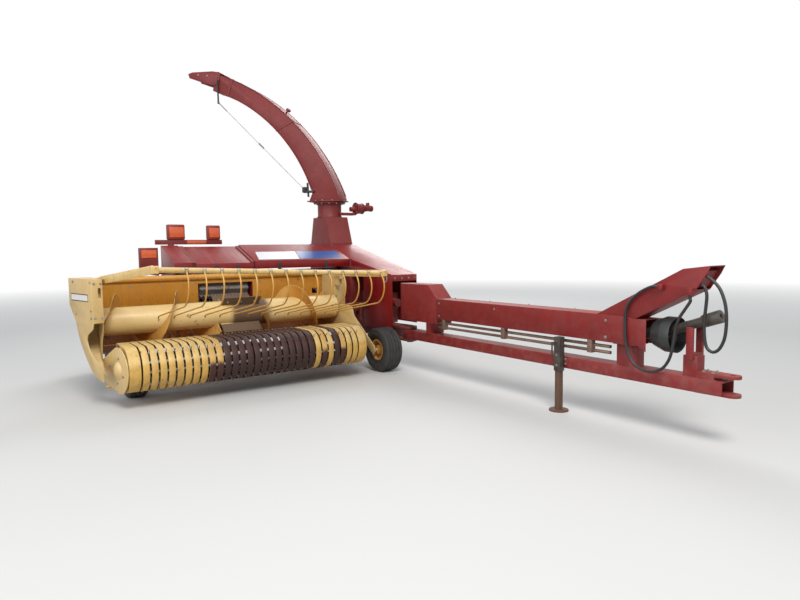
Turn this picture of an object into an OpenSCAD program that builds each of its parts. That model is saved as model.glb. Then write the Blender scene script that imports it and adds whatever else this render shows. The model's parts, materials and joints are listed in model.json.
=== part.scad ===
// Towed forage harvester with a windrow pickup header, a swing drawbar and a curved discharge spout.
// +X is the direction of travel, +Y the machine's left, +Z up, in millimetres.
// The layout frame has the pickup reel's axis at X = 0 and the pickup's middle at Y = 0.

/* [Pickup] */
// Height of the pickup reel's axis
reel_z = 323; // [300:1:345]
// Outer radius of the stripper bands
band_r = 186; // [178:1:192]
// Distance from one stripper band to the next
band_pitch = 66.7; // [64:0.1:68]
// Number of stripper bands
band_count = 30; // [26:1:31]
// Width of one stripper band
band_w = 51; // [48:1:52]
// Sheet thickness of the stripper bands
band_t = 3; // [2:0.5:4]
// Length of the plain drum at the pickup's right end
drum_right = 95; // [80:5:120]
// Turn of the guard on the pickup's right end away from the direction of travel
end_flare = 10.4; // [5:0.2:14]
// Length of the plain drum at the pickup's left end
drum_left = 95; // [80:5:120]
// Radius of the circle of the tine tips
tine_tip_r = 232; // [220:1:240]
// Diameter of one spring tine
tine_d = 5.5; // [4:0.5:5.5]
// Number of tine bars on the reel
tine_bars = 4; // [3:1:5]
// Radius of the circle of the tine bars
bar_circle_r = 118; // [100:1:125]

/* [Auger] */
// Distance of the auger's axis behind the reel
auger_back = 500; // [490:1:520]
// Height of the auger's axis
auger_z = 672; // [660:1:690]
// Diameter of the auger tube
auger_tube_d = 245; // [220:1:270]
// Outer diameter of the auger flights
flight_d = 490; // [460:1:500]
// Pitch of the auger flights
flight_pitch = 520; // [460:5:560]
// Thickness of the auger flights
flight_t = 5; // [4:1:8]
// Clear space between the flights and the trough
trough_gap = 22; // [15:1:30]

/* [Header body] */
// Sheet thickness of the header
header_t = 5; // [4:1:8]
// Distance of the inner face of the right end column from the middle
column_in = 1200; // [1180:1:1210]
// Width of the front face of the right end column
column_w = 75; // [60:5:120]
// Length of the right end column, front to back
column_len = 500; // [450:5:560]
// Turn of the column's outer plate away from the direction of travel
column_flare = 12; // [5:1:18]
// Distance of the inner face of the left end sheet from the middle
left_in = 1118; // [1110:1:1130]
// Distance of the outer face of the left end column from the middle
left_out = 1247; // [1230:1:1260]
// Height of the top rail of the header
rail_z = 1018; // [990:1:1040]
// Diameter of the top rail of the header
rail_d = 60; // [50:1:70]
// Width of the feed opening in the back sheet
throat_w = 560; // [500:5:620]
// Distance of the middle of the feed opening to the left
throat_y = 40; // [0:5:80]

/* [Windguard] */
// Distance of the windguard's cross tube in front of the reel
guard_x = 600; // [560:5:640]
// Height of the windguard's cross tube at its middle
guard_z = 1097; // [1080:1:1110]
// Diameter of the windguard's cross tube
guard_d = 42; // [38:1:48]
// Sideways tilt of the windguard, right end up
guard_tilt = 2.5; // [0:0.1:3]
// Number of rods on the windguard
rod_count = 14; // [10:1:16]
// Diameter of one rod
rod_d = 13; // [10:1:16]
// Distance from one rod to the next
rod_pitch = 134; // [125:1:140]
// Length of a rod's straight tail
rod_tail = 740; // [600:10:760]

/* [Gauge wheels] */
// Diameter of a gauge tyre
gauge_d = 457; // [440:1:470]
// Width of a gauge tyre
gauge_w = 205; // [180:5:210]
// Distance of the gauge wheels' axis behind the reel
gauge_back = 40; // [20:5:60]
// Distance of the left gauge wheel from the middle
gauge_left_y = 1440; // [1430:5:1450]
// Distance of the right gauge wheel from the middle
gauge_right_y = 930; // [900:5:960]
// Diameter of the right gauge tyre
small_gauge_d = 380; // [370:1:385]
// Width of the right gauge tyre
small_gauge_w = 165; // [150:5:180]
// Distance of the right gauge wheel's axis behind the reel
small_gauge_back = 430; // [425:1:440]

/* [Main wheels] */
// Diameter of a main tyre
tyre_d = 812; // [780:2:830]
// Width of a main tyre
tyre_w = 318; // [300:2:330]
// Distance of the axle behind the pickup reel
axle_back = 1650; // [1620:5:1680]
// Distance of the left main wheel from the middle
wheel_left_y = 1300; // [1280:5:1310]
// Distance of the right main wheel from the middle
wheel_right_y = 760; // [740:5:780]

/* [Base unit] */
// Sheet thickness of the hoods and shields
sheet_t = 3; // [2:0.5:5]
// Distance of the hood's front edge behind the reel
hood_front = 985; // [970:5:1000]
// Distance of the hood's rear edge behind the reel
hood_rear = 1470; // [1450:5:1490]
// Height of the hood at its front edge
hood_front_z = 1165; // [1150:1:1180]
// Height of the hood at its rear edge
hood_rear_z = 1343; // [1330:1:1360]
// Distance of the inner face of the side shield to the left
side_in_y = 1622; // [1615:1:1630]
// Distance of the outer face of the side shield to the left
side_out_y = 1950; // [1920:5:1980]
// Distance of the side shield's front edge behind the reel
side_front = 125; // [115:5:140]
// Height of the side shield's top at its front edge
side_front_z = 996; // [985:1:1010]
// Radius of the blower housing
blower_r = 515; // [490:5:530]
// Height of the blower's axis
blower_z = 800; // [790:5:820]

/* [Spout] */
// Distance of the spout's turning axis behind the reel
turret_back = 1740; // [1720:5:1760]
// Distance of the spout's turning axis to the left
turret_y = 1775; // [1760:5:1790]
// Turn of the spout from straight back towards the machine's right
spout_turn = 40; // [0:1:60]
// Inner width of the spout duct
spout_w = 250; // [220:5:280]
// Sheet thickness of the spout
spout_t = 4; // [3:0.5:6]
// Height of the turning flange
turret_z = 1872; // [1850:1:1890]
// Radius of the spout's outer wall
spout_outer_r = 2700; // [2650:10:2800]
// Radius of the spout's inner wall
spout_inner_r = 2120; // [2060:10:2180]
// Length of the deflector at the spout's end
deflector_len = 400; // [350:5:450]

/* [Drawbar] */
// Distance of the drawbar's swing pin in front of the reel
pivot_x = 50; // [40:1:60]
// Distance of the drawbar's middle to the left
draw_y = 1725; // [1720:1:1730]
// Distance of the clevis tip in front of the reel
clevis_x = 3470; // [3400:5:3550]
// Height of the drawbar beam's underside
beam_z = 335; // [325:1:345]
// Height of the drawbar beam
beam_h = 90; // [80:1:100]
// Width of the drawbar beam
beam_w = 150; // [130:1:170]
// Wall thickness of the drawbar beam
beam_t = 8; // [6:1:10]
// Diameter of the swing pin
pivot_pin_d = 50; // [40:1:60]
// Height of the driveline shield's underside
shield_z = 585; // [575:1:595]
// Height of the driveline shield
shield_h = 197; // [180:1:210]
// Bore of the drive shaft's yoke
pto_bore_d = 35; // [34:0.1:36]
// Width of the driveline shield
shield_w = 190; // [180:1:200]
// Bore of the hitch clevis
hitch_bore_d = 33; // [25:1:38]
// Free height between the clevis plates
clevis_gap = 96; // [90:1:110]
// Slope of the raised arm
arm_slope = 26.5; // [20:0.5:30]

/* [Jack] */
// Distance of the parking jack in front of the reel
jack_x = 2150; // [2100:5:2200]
// Outer size of the jack's square post
jack_post_w = 56; // [54:1:60]
// Outer size of the jack's square leg
jack_leg_w = 44; // [40:1:46]

/* [Fits] */
// Clear space between pieces that turn past each other
run_gap = 6; // [5:0.5:8]
// Radial clearance of a running pin
pin_gap = 0.08; // [0.05:0.01:0.1]
// Seating gap between pieces that are bolted together
seat = 0.3; // [0.2:0.05:0.5]

/* [Hidden] */
$fn = 48;

red = "#a31a1c";
dark_red = "#7c1a1c";
yellow = "#e2b45a";
rust = "#4a2f26";
steel = "#8b8d88";
black = "#1d1d1f";
amber = "#d8661a";

// Pickup
reel_half = band_pitch * band_count / 2;
pickup_right = reel_half + drum_right;
pickup_left = reel_half + drum_left;
pan_lip_x = -285;
pan_lip_z = reel_z + band_r - 8;
low_rail_x = -212;
low_rail_z = 165;
low_rail_d = 24;
reel_stub_d = 40;

// Auger and trough
auger_x = -auger_back;
auger_end_right = column_in - 14;
auger_end_left = left_in - 14;
auger_stub_d = 50;
trough_r = flight_d / 2 + trough_gap;
back_x = auger_x - trough_r - 4;

// Header lift hinge, at the height of the top rail
lift_x = back_x - 105;
lift_z = rail_z - 10;
lift_pin_d = 40;
housing_right = throat_y - throat_w / 2 - 8;
housing_left = throat_y + throat_w / 2 + 8;

// Columns
column_front = -160;
column_rear = column_front - column_len;
column_top = 1058;
left_front = -480;
left_rear = -770;
guard_hinge_x = -420;
guard_hinge_z = 1026;
guard_pin_d = 25;

// Places of the base unit
axle_x = -axle_back;
blower_x = -1500;
turret_x = -turret_back;
transition_top = 1684;
hub_gap = 0.08;

// Places of the drawbar
shield_rear = 620;
shield_front = 2880;
arm_start = 2480;
beam_front = 3390;
jack_y = draw_y - beam_w / 2 - jack_post_w / 2 - 6;
pto_start = [2985, 697];
pto_slope = 20;

// Spout's foot and end
spout_end_heading = 18.7;
spout_start_heading = 70.3;
inner_start_heading = 72;
inner_end_heading = 18;
spout_foot_out = -190;
spout_foot_in = 175;
spout_foot_z = 1925;
outer_end = [spout_foot_out + spout_outer_r * (sin(spout_start_heading) - sin(spout_end_heading)),
             spout_foot_z + spout_outer_r * (cos(spout_end_heading) - cos(spout_start_heading))];
deflector_w = spout_w + 2 * spout_t + 20;
deflector_reach = outer_end[0] + deflector_len;

// Origin: the middle of the whole machine's box, on the ground
x_rear = turret_x - deflector_reach * cos(spout_turn) - deflector_w / 2 * sin(spout_turn);
x_front = clevis_x;
motor_tip_y = 2330;
y_left = motor_tip_y;
y_right = -(column_in + column_w + column_len * sin(column_flare));
origin = [(x_front + x_rear) / 2, (y_left + y_right) / 2, 0];

module to_origin() { translate(-origin) children(); }

// A block between two corners
module block(low, high) {
    translate(low) cube(high - low);
}

// A rod along X, Y or Z, from its start
module rod_x(p, len, d) { translate(p) rotate([0, 90, 0]) cylinder(d = d, h = len); }
module rod_y(p, len, d) { translate(p) rotate([-90, 0, 0]) cylinder(d = d, h = len); }
module rod_z(p, len, d) { translate(p) cylinder(d = d, h = len); }

// A side outline, given in X and Z, extruded from y to y + w
module side_sheet(y, w, outline) {
    translate([0, y + w, 0]) rotate([90, 0, 0]) linear_extrude(height = w) polygon(outline);
}

// A plan outline, given in X and Y, extruded from z to z + h
module plan_sheet(z, h, outline) {
    translate([0, 0, z]) linear_extrude(height = h) polygon(outline);
}

// Points of an arc from angle a to angle b
function arc(cx, cz, r, a, b, steps = 12) =
    [for (i = [0 : steps]) let (t = a + (b - a) * i / steps) [cx + r * cos(t), cz + r * sin(t)]];
function backwards(list) = [for (i = [len(list) - 1 : -1 : 0]) list[i]];

// A round bar swept along points, as one closed mesh
function unit(v) = v / norm(v);
function sweep_ring(path, i, r, n) =
    let (t = unit(path[min(i + 1, len(path) - 1)] - path[max(i - 1, 0)]),
         side = unit(cross(t, [0, 1, 0])), up = cross(side, t))
    [for (k = [0 : n - 1]) path[i] + r * (cos(360 * k / n) * side + sin(360 * k / n) * up)];
module sweep(path, d, n = 8) {
    last = len(path) - 1;
    polyhedron(
        points = [for (i = [0 : last]) each sweep_ring(path, i, d / 2, n)],
        faces = concat([[for (k = [n - 1 : -1 : 0]) k]], [[for (k = [0 : n - 1]) last * n + k]],
            [for (i = [0 : last - 1]) each [for (k = [0 : n - 1]) each
                let (a = i * n + k, b = i * n + (k + 1) % n) [[a, b, b + n], [a, b + n, a + n]]]]));
}

// A tyre section turned about Y: crown, rounded shoulders, bulged sidewalls and bead
module tyre(x, y, d, w, rim_d) {
    r = d / 2;
    shoulder = w * 0.2;
    bead = w * 0.36;
    bulge = (r + rim_d / 2) / 2;
    translate([x, y, r]) rotate([90, 0, 0]) rotate_extrude($fn = 64)
        polygon(concat(
            [[rim_d / 2, -bead], [rim_d / 2 + 9, -bead], [bulge, -w / 2]],
            arc(r - shoulder, -w / 2 + shoulder, shoulder, -75, 0, 4),
            arc(r - shoulder, w / 2 - shoulder, shoulder, 0, 75, 4),
            [[bulge, w / 2], [rim_d / 2 + 9, bead], [rim_d / 2, bead]]));
}

// A rim turned about Y: well, dished disc and hub with a running bore
module rim(x, y, d, w, rim_d, side, hub_d, axle_d) {
    r = rim_d / 2 - seat;
    well = w * 0.36;
    disc = side * well * 0.35;
    bore = axle_d / 2 + hub_gap;
    translate([x, y, d / 2]) rotate([90, 0, 0]) rotate_extrude($fn = 64) {
        // well with two flanges
        polygon([[r - 10, -well - 8], [r + 8, -well - 8], [r + 8, -well - seat], [r, -well - seat],
            [r, well + seat], [r + 8, well + seat], [r + 8, well + 8], [r - 10, well + 8]]);
        // disc and hub
        polygon([[bore, -disc - w * 0.24], [hub_d / 2, -disc - w * 0.24], [hub_d / 2, -disc - 5],
            [r - 9, -disc - 5], [r - 9, -disc + 5], [hub_d / 2, -disc + 5], [hub_d / 2, -disc + w * 0.24],
            [bore, -disc + w * 0.24]]);
    }
}

// Base unit

module main_frame() {
    lug_low = beam_z - 26 - run_gap;
    lug_high = beam_z + beam_h + run_gap;
    color(dark_red) {
        // rails from the feed housing back to the rear cross tube
        for (y = [-470, 960])
            block([-2150 + seat, y, 560], [-860, y + 90, 650]);
        block([-2240, -470, 560], [-2150, 1950, 650]);
        // cross tube from the left rail to the swing arm
        block([-950, 1050 + seat, 560], [-860, draw_y - 60 - seat, 650]);
        // arm that carries the swing pin, under the side shield
        block([-950, draw_y - 60, lug_low], [-140, draw_y + 60, lug_high + 26]);
        block([-950, draw_y - 60, lug_high + 25], [-860, draw_y + 60, 650]);
        for (z = [lug_low, lug_high])
            plan_sheet(z, 26, concat([[-160, draw_y + 75]], [[-160, draw_y - 75]],
                arc(pivot_x, draw_y, 75, -90, 90)));
        rod_z([pivot_x, draw_y, lug_low - 14], lug_high - lug_low + 50, pivot_pin_d);
        rod_z([pivot_x, draw_y, lug_low - 14], 14.1, pivot_pin_d + 24);
    }
    // hitch for a wagon at the back
    color(dark_red) difference() {
        union() {
            block([-2560, 255, 500], [-2160, 345, 560 - seat]);
            block([-2330, 120, 559], [-2240 - seat, 480, 650]);
            plan_sheet(500, 26, concat([[-2559, 345], [-2559, 255]], backwards(arc(-2700, 300, 45, 90, 270, 12))));
        }
        rod_z([-2700, 300, 400], 200, 26);
    }
}

module axle() {
    color(dark_red) {
        block([axle_x - 50, -wheel_right_y + 120, 356], [axle_x + 50, wheel_left_y - 120, 456]);
        for (y = [-440, 990])
            block([axle_x - 40, y - 15, 455], [axle_x + 40, y + 45, 560 - seat]);
        rod_y([axle_x, -wheel_right_y - 130, tyre_d / 2], 251, 70);
        rod_y([axle_x, wheel_left_y - 121, tyre_d / 2], 251, 70);
        // end caps that keep the hubs on
        for (y = [-wheel_right_y - 143, wheel_left_y + 123])
            rod_y([axle_x, y, tyre_d / 2], 20, 92);
    }
}

module feed_housing() {
    front = back_x - header_t - run_gap;
    color(dark_red) difference() {
        union() {
            for (y = [housing_right, housing_left - 8])
                block([-1250, y, 560], [front, y + 8, 1012]);
            block([-1250, housing_right, 1004], [front - 40, housing_left, 1012]);
            block([-1250, housing_right, 540], [front - 40, housing_left, 561]);
            // feet out to the frame's rails
            block([-1250, -379.7, 600], [-1180, housing_right + 1, 640]);
            block([-1250, housing_left - 1, 600], [-1180, 959.7, 640]);
        }
        // notch for the header's rail
        block([back_x - 45, housing_right - 1, rail_z - rail_d / 2 - 6], [front + 1, housing_left + 1, 1013]);
        for (z = [feed_upper_z, feed_lower_z])
            rod_y([feed_x, housing_right - 5, z], housing_left - housing_right + 10, 50 + 2 * pin_gap);
    }
    // pins of the header's lift hinge
    color(steel) {
        rod_y([lift_x, housing_right - 30, lift_z], 31, lift_pin_d);
        rod_y([lift_x, housing_left - 1, lift_z], 31, lift_pin_d);
    }
}

module cutterhead_housing() {
    color(dark_red) {
        difference() {
            union() {
                rod_y([-1500, -370, 810], 1320, 480);
                block([-1720, -379.7, 570], [-1250.3, 959.7, 700]);
                block([-1500, -370, 700], [-1250.3, 950, 1049]);
            }
            // mouth towards the feed rolls
            block([-1400, throat_y - 260, 590], [-1200, throat_y + 260, 985]);
        }
        // duct across to the blower
        block([-1740, 949, tyre_d + 28], [-1400, side_in_y + sheet_t, 1040]);
        // ribs that carry the hood panels: side place, drop of the panel
        for (rib = [[-245, 4], [-170, 18], [415, 18], [455, 0], [1590, 0]])
            side_sheet(rib[0], 8, [[-1460, 1035], [-1405, 1035], [-1262, 1048],
                [-1262, hood_under(-1262) - rib[1]], [-1460, hood_under(-1460) - rib[1]]]);
        block([-1500, 940, 1035], [-1400, 1598, 1049]);
    }
}

// Height of the hood's underside at a place along X
function hood_under(x) = hood_front_z + (hood_rear_z - hood_front_z) * (-x - hood_front) / (hood_rear - hood_front)
    - sheet_t - 2.5 - seat;

module blower_housing() {
    y0 = side_in_y + sheet_t + seat;
    y1 = side_out_y - sheet_t - seat;
    low = [[-2012, 1640], [-1478, 1640], [-1478, y1], [-2012, y1]];
    high = [[-1900, 1625], [-1570, 1625], [-1570, 1935], [-1900, 1935]];
    color(dark_red) difference() {
        union() {
            rod_y([blower_x, y0, blower_z], y1 - y0, 2 * blower_r);
            block([blower_x - blower_r, y0, blower_z], [-1475, y1, 1356]);
            // foot on the frame's rear tube
            block([-2149.7, 1700, 590], [-1900, 1860, 640]);
        }
        // the drum is open on the right, where the crop comes in
        rod_y([blower_x, y0 - 5, blower_z + 100], 120, 240);
    }
    // four-sided transition, wide at the blower and narrow at the turning ring
    color(red) polyhedron(
        points = concat([for (p = low) [p[0], p[1], 1355.9]], [for (p = high) [p[0], p[1], transition_top]]),
        faces = [[0, 1, 2, 3], [4, 7, 6, 5], [0, 4, 5, 1], [1, 5, 6, 2], [2, 6, 7, 3], [3, 7, 4, 0]]);
}

module turret_collar() {
    h = turret_z - transition_top - seat;
    motor_x = turret_x + 140;
    color(dark_red) difference() {
        union() {
            translate([turret_x, turret_y, transition_top + seat]) {
                cylinder(d = 300, h = h);
                cylinder(d = 320, h = 10);
                translate([0, 0, h - 12]) cylinder(d = 400, h = 12);
            }
            // turning motor: bracket, gearbox and motor beside the collar
            block([turret_x + 40, turret_y + 60, transition_top + 30], [motor_x + 20, turret_y + 300, transition_top + 60]);
            block([motor_x - 40, turret_y + 285, transition_top + 50], [motor_x + 40, turret_y + 301, 1850]);
            rod_y([motor_x, turret_y + 300, 1800], 105, 130);
            rod_y([motor_x, turret_y + 404, 1806], motor_tip_y - turret_y - 404, 75);
            rod_y([motor_x, turret_y + 225, 1790], 61, 60);
        }
        translate([turret_x, turret_y, transition_top]) cylinder(d = 288, h = 300);
    }
}

// One hood panel with its front lip, between two side places
module hood_panel(y0, y1, drop) {
    side_sheet(y0, y1 - y0, [
        [-hood_rear, hood_rear_z - drop], [-hood_front, hood_front_z - drop],
        [-hood_front, hood_front_z - drop - 85], [-hood_front - sheet_t, hood_front_z - drop - 85],
        [-hood_front - sheet_t, hood_front_z - drop - sheet_t - 2],
        [-hood_rear, hood_rear_z - drop - sheet_t - 1]]);
}
module hood_left() { color(red) hood_panel(442, side_in_y - 6, 0); }
module hood_centre() { color(red) hood_panel(-185, 430, 18); }
module hood_right() {
    color(red) {
        hood_panel(-400, -225, 4);
        side_sheet(-400, sheet_t, [[-hood_rear, hood_rear_z - 5], [-hood_front - 1, hood_front_z - 5],
            [-hood_front - 1, 1015], [-hood_rear, 1015]]);
    }
}

// Shield over the drives on the left: sloping top, inner and outer walls and front lip
module side_shield() {
    rear = -hood_rear;
    front = -side_front;
    bend = -hood_front;
    t = 4;
    color(red) {
        side_sheet(side_in_y, sheet_t, [[rear, hood_rear_z], [bend, hood_front_z], [front, side_front_z],
            [front, 400], [-700, 400], [-700, 960], [-1390, 1042], [rear, 1042]]);
        side_sheet(side_out_y - sheet_t, sheet_t, [[rear, hood_rear_z], [front, side_front_z],
            [front, 460], [rear, 460]]);
        polyhedron(points = [
                [rear, side_in_y, hood_rear_z], [bend, side_in_y, hood_front_z], [front, side_in_y, side_front_z],
                [front, side_out_y, side_front_z], [rear, side_out_y, hood_rear_z],
                [rear, side_in_y, hood_rear_z - t], [bend, side_in_y, hood_front_z - t],
                [front, side_in_y, side_front_z - t], [front, side_out_y, side_front_z - t],
                [rear, side_out_y, hood_rear_z - t]],
            faces = [[0, 4, 3], [0, 3, 1], [1, 3, 2], [5, 8, 9], [5, 6, 8], [6, 7, 8],
                     [0, 1, 6, 5], [1, 2, 7, 6], [2, 3, 8, 7], [3, 4, 9, 8], [4, 0, 5, 9]]);
        block([front - sheet_t, side_in_y, side_front_z - 68], [front, side_out_y, side_front_z - 1]);
    }
}

// Drive box under the side shield, in front of the blower
module gearbox() {
    top = beam_z + beam_h + run_gap + 26 + seat;
    color(dark_red) {
        block([-780, draw_y - 70, top], [-330, draw_y + 110, 790]);
        rod_x([-331, draw_y, 690], 170, 90);
    }
}

module light_bar() {
    color(dark_red) {
        block([-1600, -425, 1350], [-1555, 290, 1400]);
        block([-1570, -300, 1250], [-1510, -250, 1351]);
        block([-1570, -300, 1050 + seat], [-1500, -250, 1251]);
    }
    // marker box beside the hood
    color(red) {
        block([-1060, -715, 1120], [-1000, -545, 1312]);
        block([-1400, -560, 1040], [-1000, -545, 1121]);
        block([-1400, -546, 1040], [-1370, -400.3, 1070]);
    }
}

module lamps() {
    color(amber) {
        block([-1620, -300, 1400 + seat], [-1540, -120, 1565]);
        block([-1620, 130, 1400 + seat], [-1540, 270, 1560]);
    }
}

module main_tyre_left() { color(black) tyre(axle_x, wheel_left_y, tyre_d, tyre_w, 381); }
module main_tyre_right() { color(black) tyre(axle_x, -wheel_right_y, tyre_d, tyre_w, 381); }
module main_rim_left() { color(yellow) rim(axle_x, wheel_left_y, tyre_d, tyre_w, 381, 1, 130, 70); }
module main_rim_right() { color(yellow) rim(axle_x, -wheel_right_y, tyre_d, tyre_w, 381, -1, 130, 70); }

// Feed rolls with toothed bars
feed_x = back_x - header_t - 122;
feed_upper_z = 892;
feed_lower_z = 676;
module feed_roll(z) {
    bars = 8;
    teeth = 14;
    len = throat_w - 60;
    pitch = len / teeth;
    color(steel) translate([feed_x, throat_y, z]) {
        rotate([90, 0, 0]) cylinder(d = 150, h = len, center = true);
        rotate([90, 0, 0]) cylinder(d = 50, h = throat_w + 40, center = true);
        for (b = [0 : bars - 1]) rotate([0, b * 360 / bars, 0]) translate([-4, 0, 0])
            rotate([90, 0, 90]) linear_extrude(height = 8) polygon(concat(
                [[len / 2, 60], [-len / 2, 60]],
                [for (i = [0 : teeth - 1]) each [
                    [-len / 2 + i * pitch, 88], [-len / 2 + (i + 0.25) * pitch, 104],
                    [-len / 2 + (i + 0.6) * pitch, 104], [-len / 2 + (i + 0.85) * pitch, 88]]],
                [[len / 2, 88]]));
    }
}
module feed_roll_upper() { feed_roll(feed_upper_z); }
module feed_roll_lower() { feed_roll(feed_lower_z); }

// Spout, drawn in a plane: distance from the turning axis and height

function outer_curve(shift, steps = 24) = [for (i = [0 : steps])
    let (h = spout_start_heading + (spout_end_heading - spout_start_heading) * i / steps)
    [spout_foot_out + shift + (spout_outer_r) * (sin(spout_start_heading) - sin(h)) - shift * (1 - sin(h)),
     spout_foot_z + (spout_outer_r) * (cos(h) - cos(spout_start_heading)) - shift * cos(h)]];
function inner_curve(shift, steps = 24) = [for (i = [0 : steps])
    let (h = inner_start_heading + (inner_end_heading - inner_start_heading) * i / steps)
    [spout_foot_in - shift + (spout_inner_r) * (sin(inner_start_heading) - sin(h)) + shift * (1 - sin(h)),
     spout_foot_z + 75 + (spout_inner_r) * (cos(h) - cos(inner_start_heading)) + shift * cos(h)]];

module spout_frame() {
    translate([turret_x, turret_y, 0]) rotate([0, 0, 180 + spout_turn]) children();
}

// Four sheets welded at their edges, and the foot that turns inside the collar
module spout() {
    w = spout_w + 2 * spout_t;
    outer = outer_curve(0);
    inner = inner_curve(0);
    outer_in = outer_curve(spout_t);
    inner_in = inner_curve(spout_t);
    base = turret_z + 6;
    start = spout_foot_z - 29 + seat;
    color(dark_red) spout_frame() {
        // side walls, each with a hinge pin of the deflector
        for (side = [-1, 1]) {
            side_sheet(side * (spout_w + spout_t) / 2 - spout_t / 2, spout_t,
                concat([[spout_foot_out, start]], outer, backwards(inner), [[spout_foot_in + 45, start]]));
            rod_y([outer_end[0] - 30, side * (w / 2 + 9.5) - 10.5, outer_end[1] - 45], 21, 20);
        }
        // outer and inner walls between them
        side_sheet(-spout_w / 2 + seat, spout_w - 2 * seat,
            concat([[spout_foot_out, start]], outer, backwards(outer_in), [[spout_foot_out + spout_t, start]]));
        side_sheet(-spout_w / 2 + seat, spout_w - 2 * seat,
            concat([[spout_foot_in + 45 - spout_t, start]], inner_in, backwards(inner), [[spout_foot_in + 45, start]]));
    }
    color(dark_red) difference() {
        union() {
            // foot plate
            spout_frame() block([spout_foot_out - 20, -w / 2 - 16, base + 6], [spout_foot_in + 70, w / 2 + 16, spout_foot_z - 29]);
            // turning flange, and the spigot that turns inside the collar
            translate([turret_x, turret_y, base - 0.5]) cylinder(r = 215, h = 14.5);
            translate([turret_x, turret_y, turret_z - 60]) cylinder(r = 144 - pin_gap, h = 70);
        }
        translate([turret_x, turret_y, turret_z - 61]) cylinder(r = 110, h = 90);
    }
}

// Cap over the spout's end, hinged at the outer wall
module deflector() {
    w = deflector_w;
    len = deflector_len;
    color(dark_red) spout_frame() translate([outer_end[0], 0, outer_end[1]]) difference() {
        side_sheet(-w / 2, w, [[-70, 2], [-47, 20], [-18, 21], [40, 34], [len - 60, 44], [len, 27],
            [len - 20, -28], [150, -115], [10, -150], [-50, -95]]);
        side_sheet(-w / 2 + 4, w - 8, [[-90, -18], [-49, 15], [-18, 16], [40, 29], [len - 60, 39], [len - 8, 25],
            [len - 10, -110], [150, -200], [-90, -200]]);
        rod_y([-30, -w, -45], 2 * w, 20 + 2 * pin_gap);
    }
}

// Drawbar

module drawbar() {
    y0 = draw_y - beam_w / 2;
    y1 = draw_y + beam_w / 2;
    top = beam_z + beam_h;
    color(red) difference() {
        union() {
            difference() {
                block([pivot_x + 60, y0, beam_z], [beam_front, y1, top]);
                block([pivot_x + 90, y0 + beam_t, beam_z + beam_t], [beam_front + 1, y1 - beam_t, top - beam_t]);
            }
            rod_z([pivot_x, draw_y, beam_z], beam_h, beam_w * 0.96);
            block([pivot_x, y0 + 3, beam_z], [pivot_x + 70, y1 - 3, top]);
            // clevis plates
            for (z = [beam_z - 6, beam_z - 6 + clevis_gap + 20])
                plan_sheet(z, 20, concat([[beam_front - 180, draw_y + 55]], [[beam_front - 180, draw_y - 55]],
                    arc(clevis_x - 50, draw_y, 50, -90, 90)));
            block([beam_front - 180, draw_y - 55, top - 1], [beam_front - 60, draw_y + 55, beam_z - 6 + clevis_gap + 40]);
            // gusset under the shield's front end
            block([2620, draw_y - 45, top - 1], [2780, draw_y + 45, shield_z - 6]);
            // bracket of the jack
            block([jack_x - 60, y0 - 6 + seat, top - 70], [jack_x + 60, y0 + 1, top - 10]);
            // rest of the drive shaft: pedestal and fork
            block([3120, draw_y - 45, top - 1], [3215, draw_y + 45, 560]);
            for (y = [draw_y - 68, draw_y + 50]) block([3150, y, 540], [3195, y + 18, 745]);
            block([3150, draw_y - 68, 540], [3195, draw_y + 68, 575]);
        }
        rod_z([pivot_x, draw_y, 200], 400, pivot_pin_d + 2 * pin_gap);
        rod_z([clevis_x - 50, draw_y, 200], 400, hitch_bore_d);
    }
}

module pivot_box() {
    y0 = draw_y - shield_w / 2;
    low = 535;
    top = 912;
    color(red) {
        difference() {
            union() {
                side_sheet(y0, shield_w, [[pivot_x, low], [pivot_x, top], [480, top + 3],
                    [shield_rear, shield_z + shield_h], [shield_rear, low]]);
                rod_z([pivot_x, draw_y, low], top - low, shield_w);
            }
            side_sheet(y0 + sheet_t, shield_w - 2 * sheet_t, [[pivot_x, low - 5], [pivot_x, top - 4], [479, top - 1],
                [shield_rear - sheet_t, shield_z + shield_h - 2], [shield_rear - sheet_t, low - 5]]);
            rod_z([pivot_x, draw_y, low - 5], top - low + 1, shield_w - 2 * sheet_t);
        }
        // post down to the beam
        block([450, y0 + 1, beam_z + beam_h + seat], [500, y0 + shield_w - 1, low + 30]);
    }
}

module driveline_shield() {
    y0 = draw_y - shield_w / 2;
    top = shield_z + shield_h;
    color(red) difference() {
        side_sheet(y0, shield_w, [[shield_rear + seat, shield_z], [shield_rear + seat, top], [2700, top],
            [2790, top - 12], [shield_front, top - 12], [shield_front, shield_z - 35], [2820, shield_z]]);
        side_sheet(y0 + sheet_t, shield_w - 2 * sheet_t, [[shield_rear - 5, shield_z - 40], [shield_rear - 5, top - sheet_t],
            [2700, top - sheet_t], [2790, top - 12 - sheet_t], [shield_front + 5, top - 12 - sheet_t],
            [shield_front + 5, shield_z - 40]]);
        // space for the gusset
        block([2610, draw_y - 60, shield_z - 60], [2790, draw_y + 60, shield_z + 20]);
    }
    // plate that carries the shaft's tube
    color(red) block([2693, y0 + 1, shield_z + 5], [2700 - seat, y0 + shield_w - 1, top - 1]);
    // crossbars on the gusset
    color(red) block([2620, y0 + 1, shield_z - 5], [2780, y0 + shield_w - 1, shield_z + 1]);
}

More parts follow.
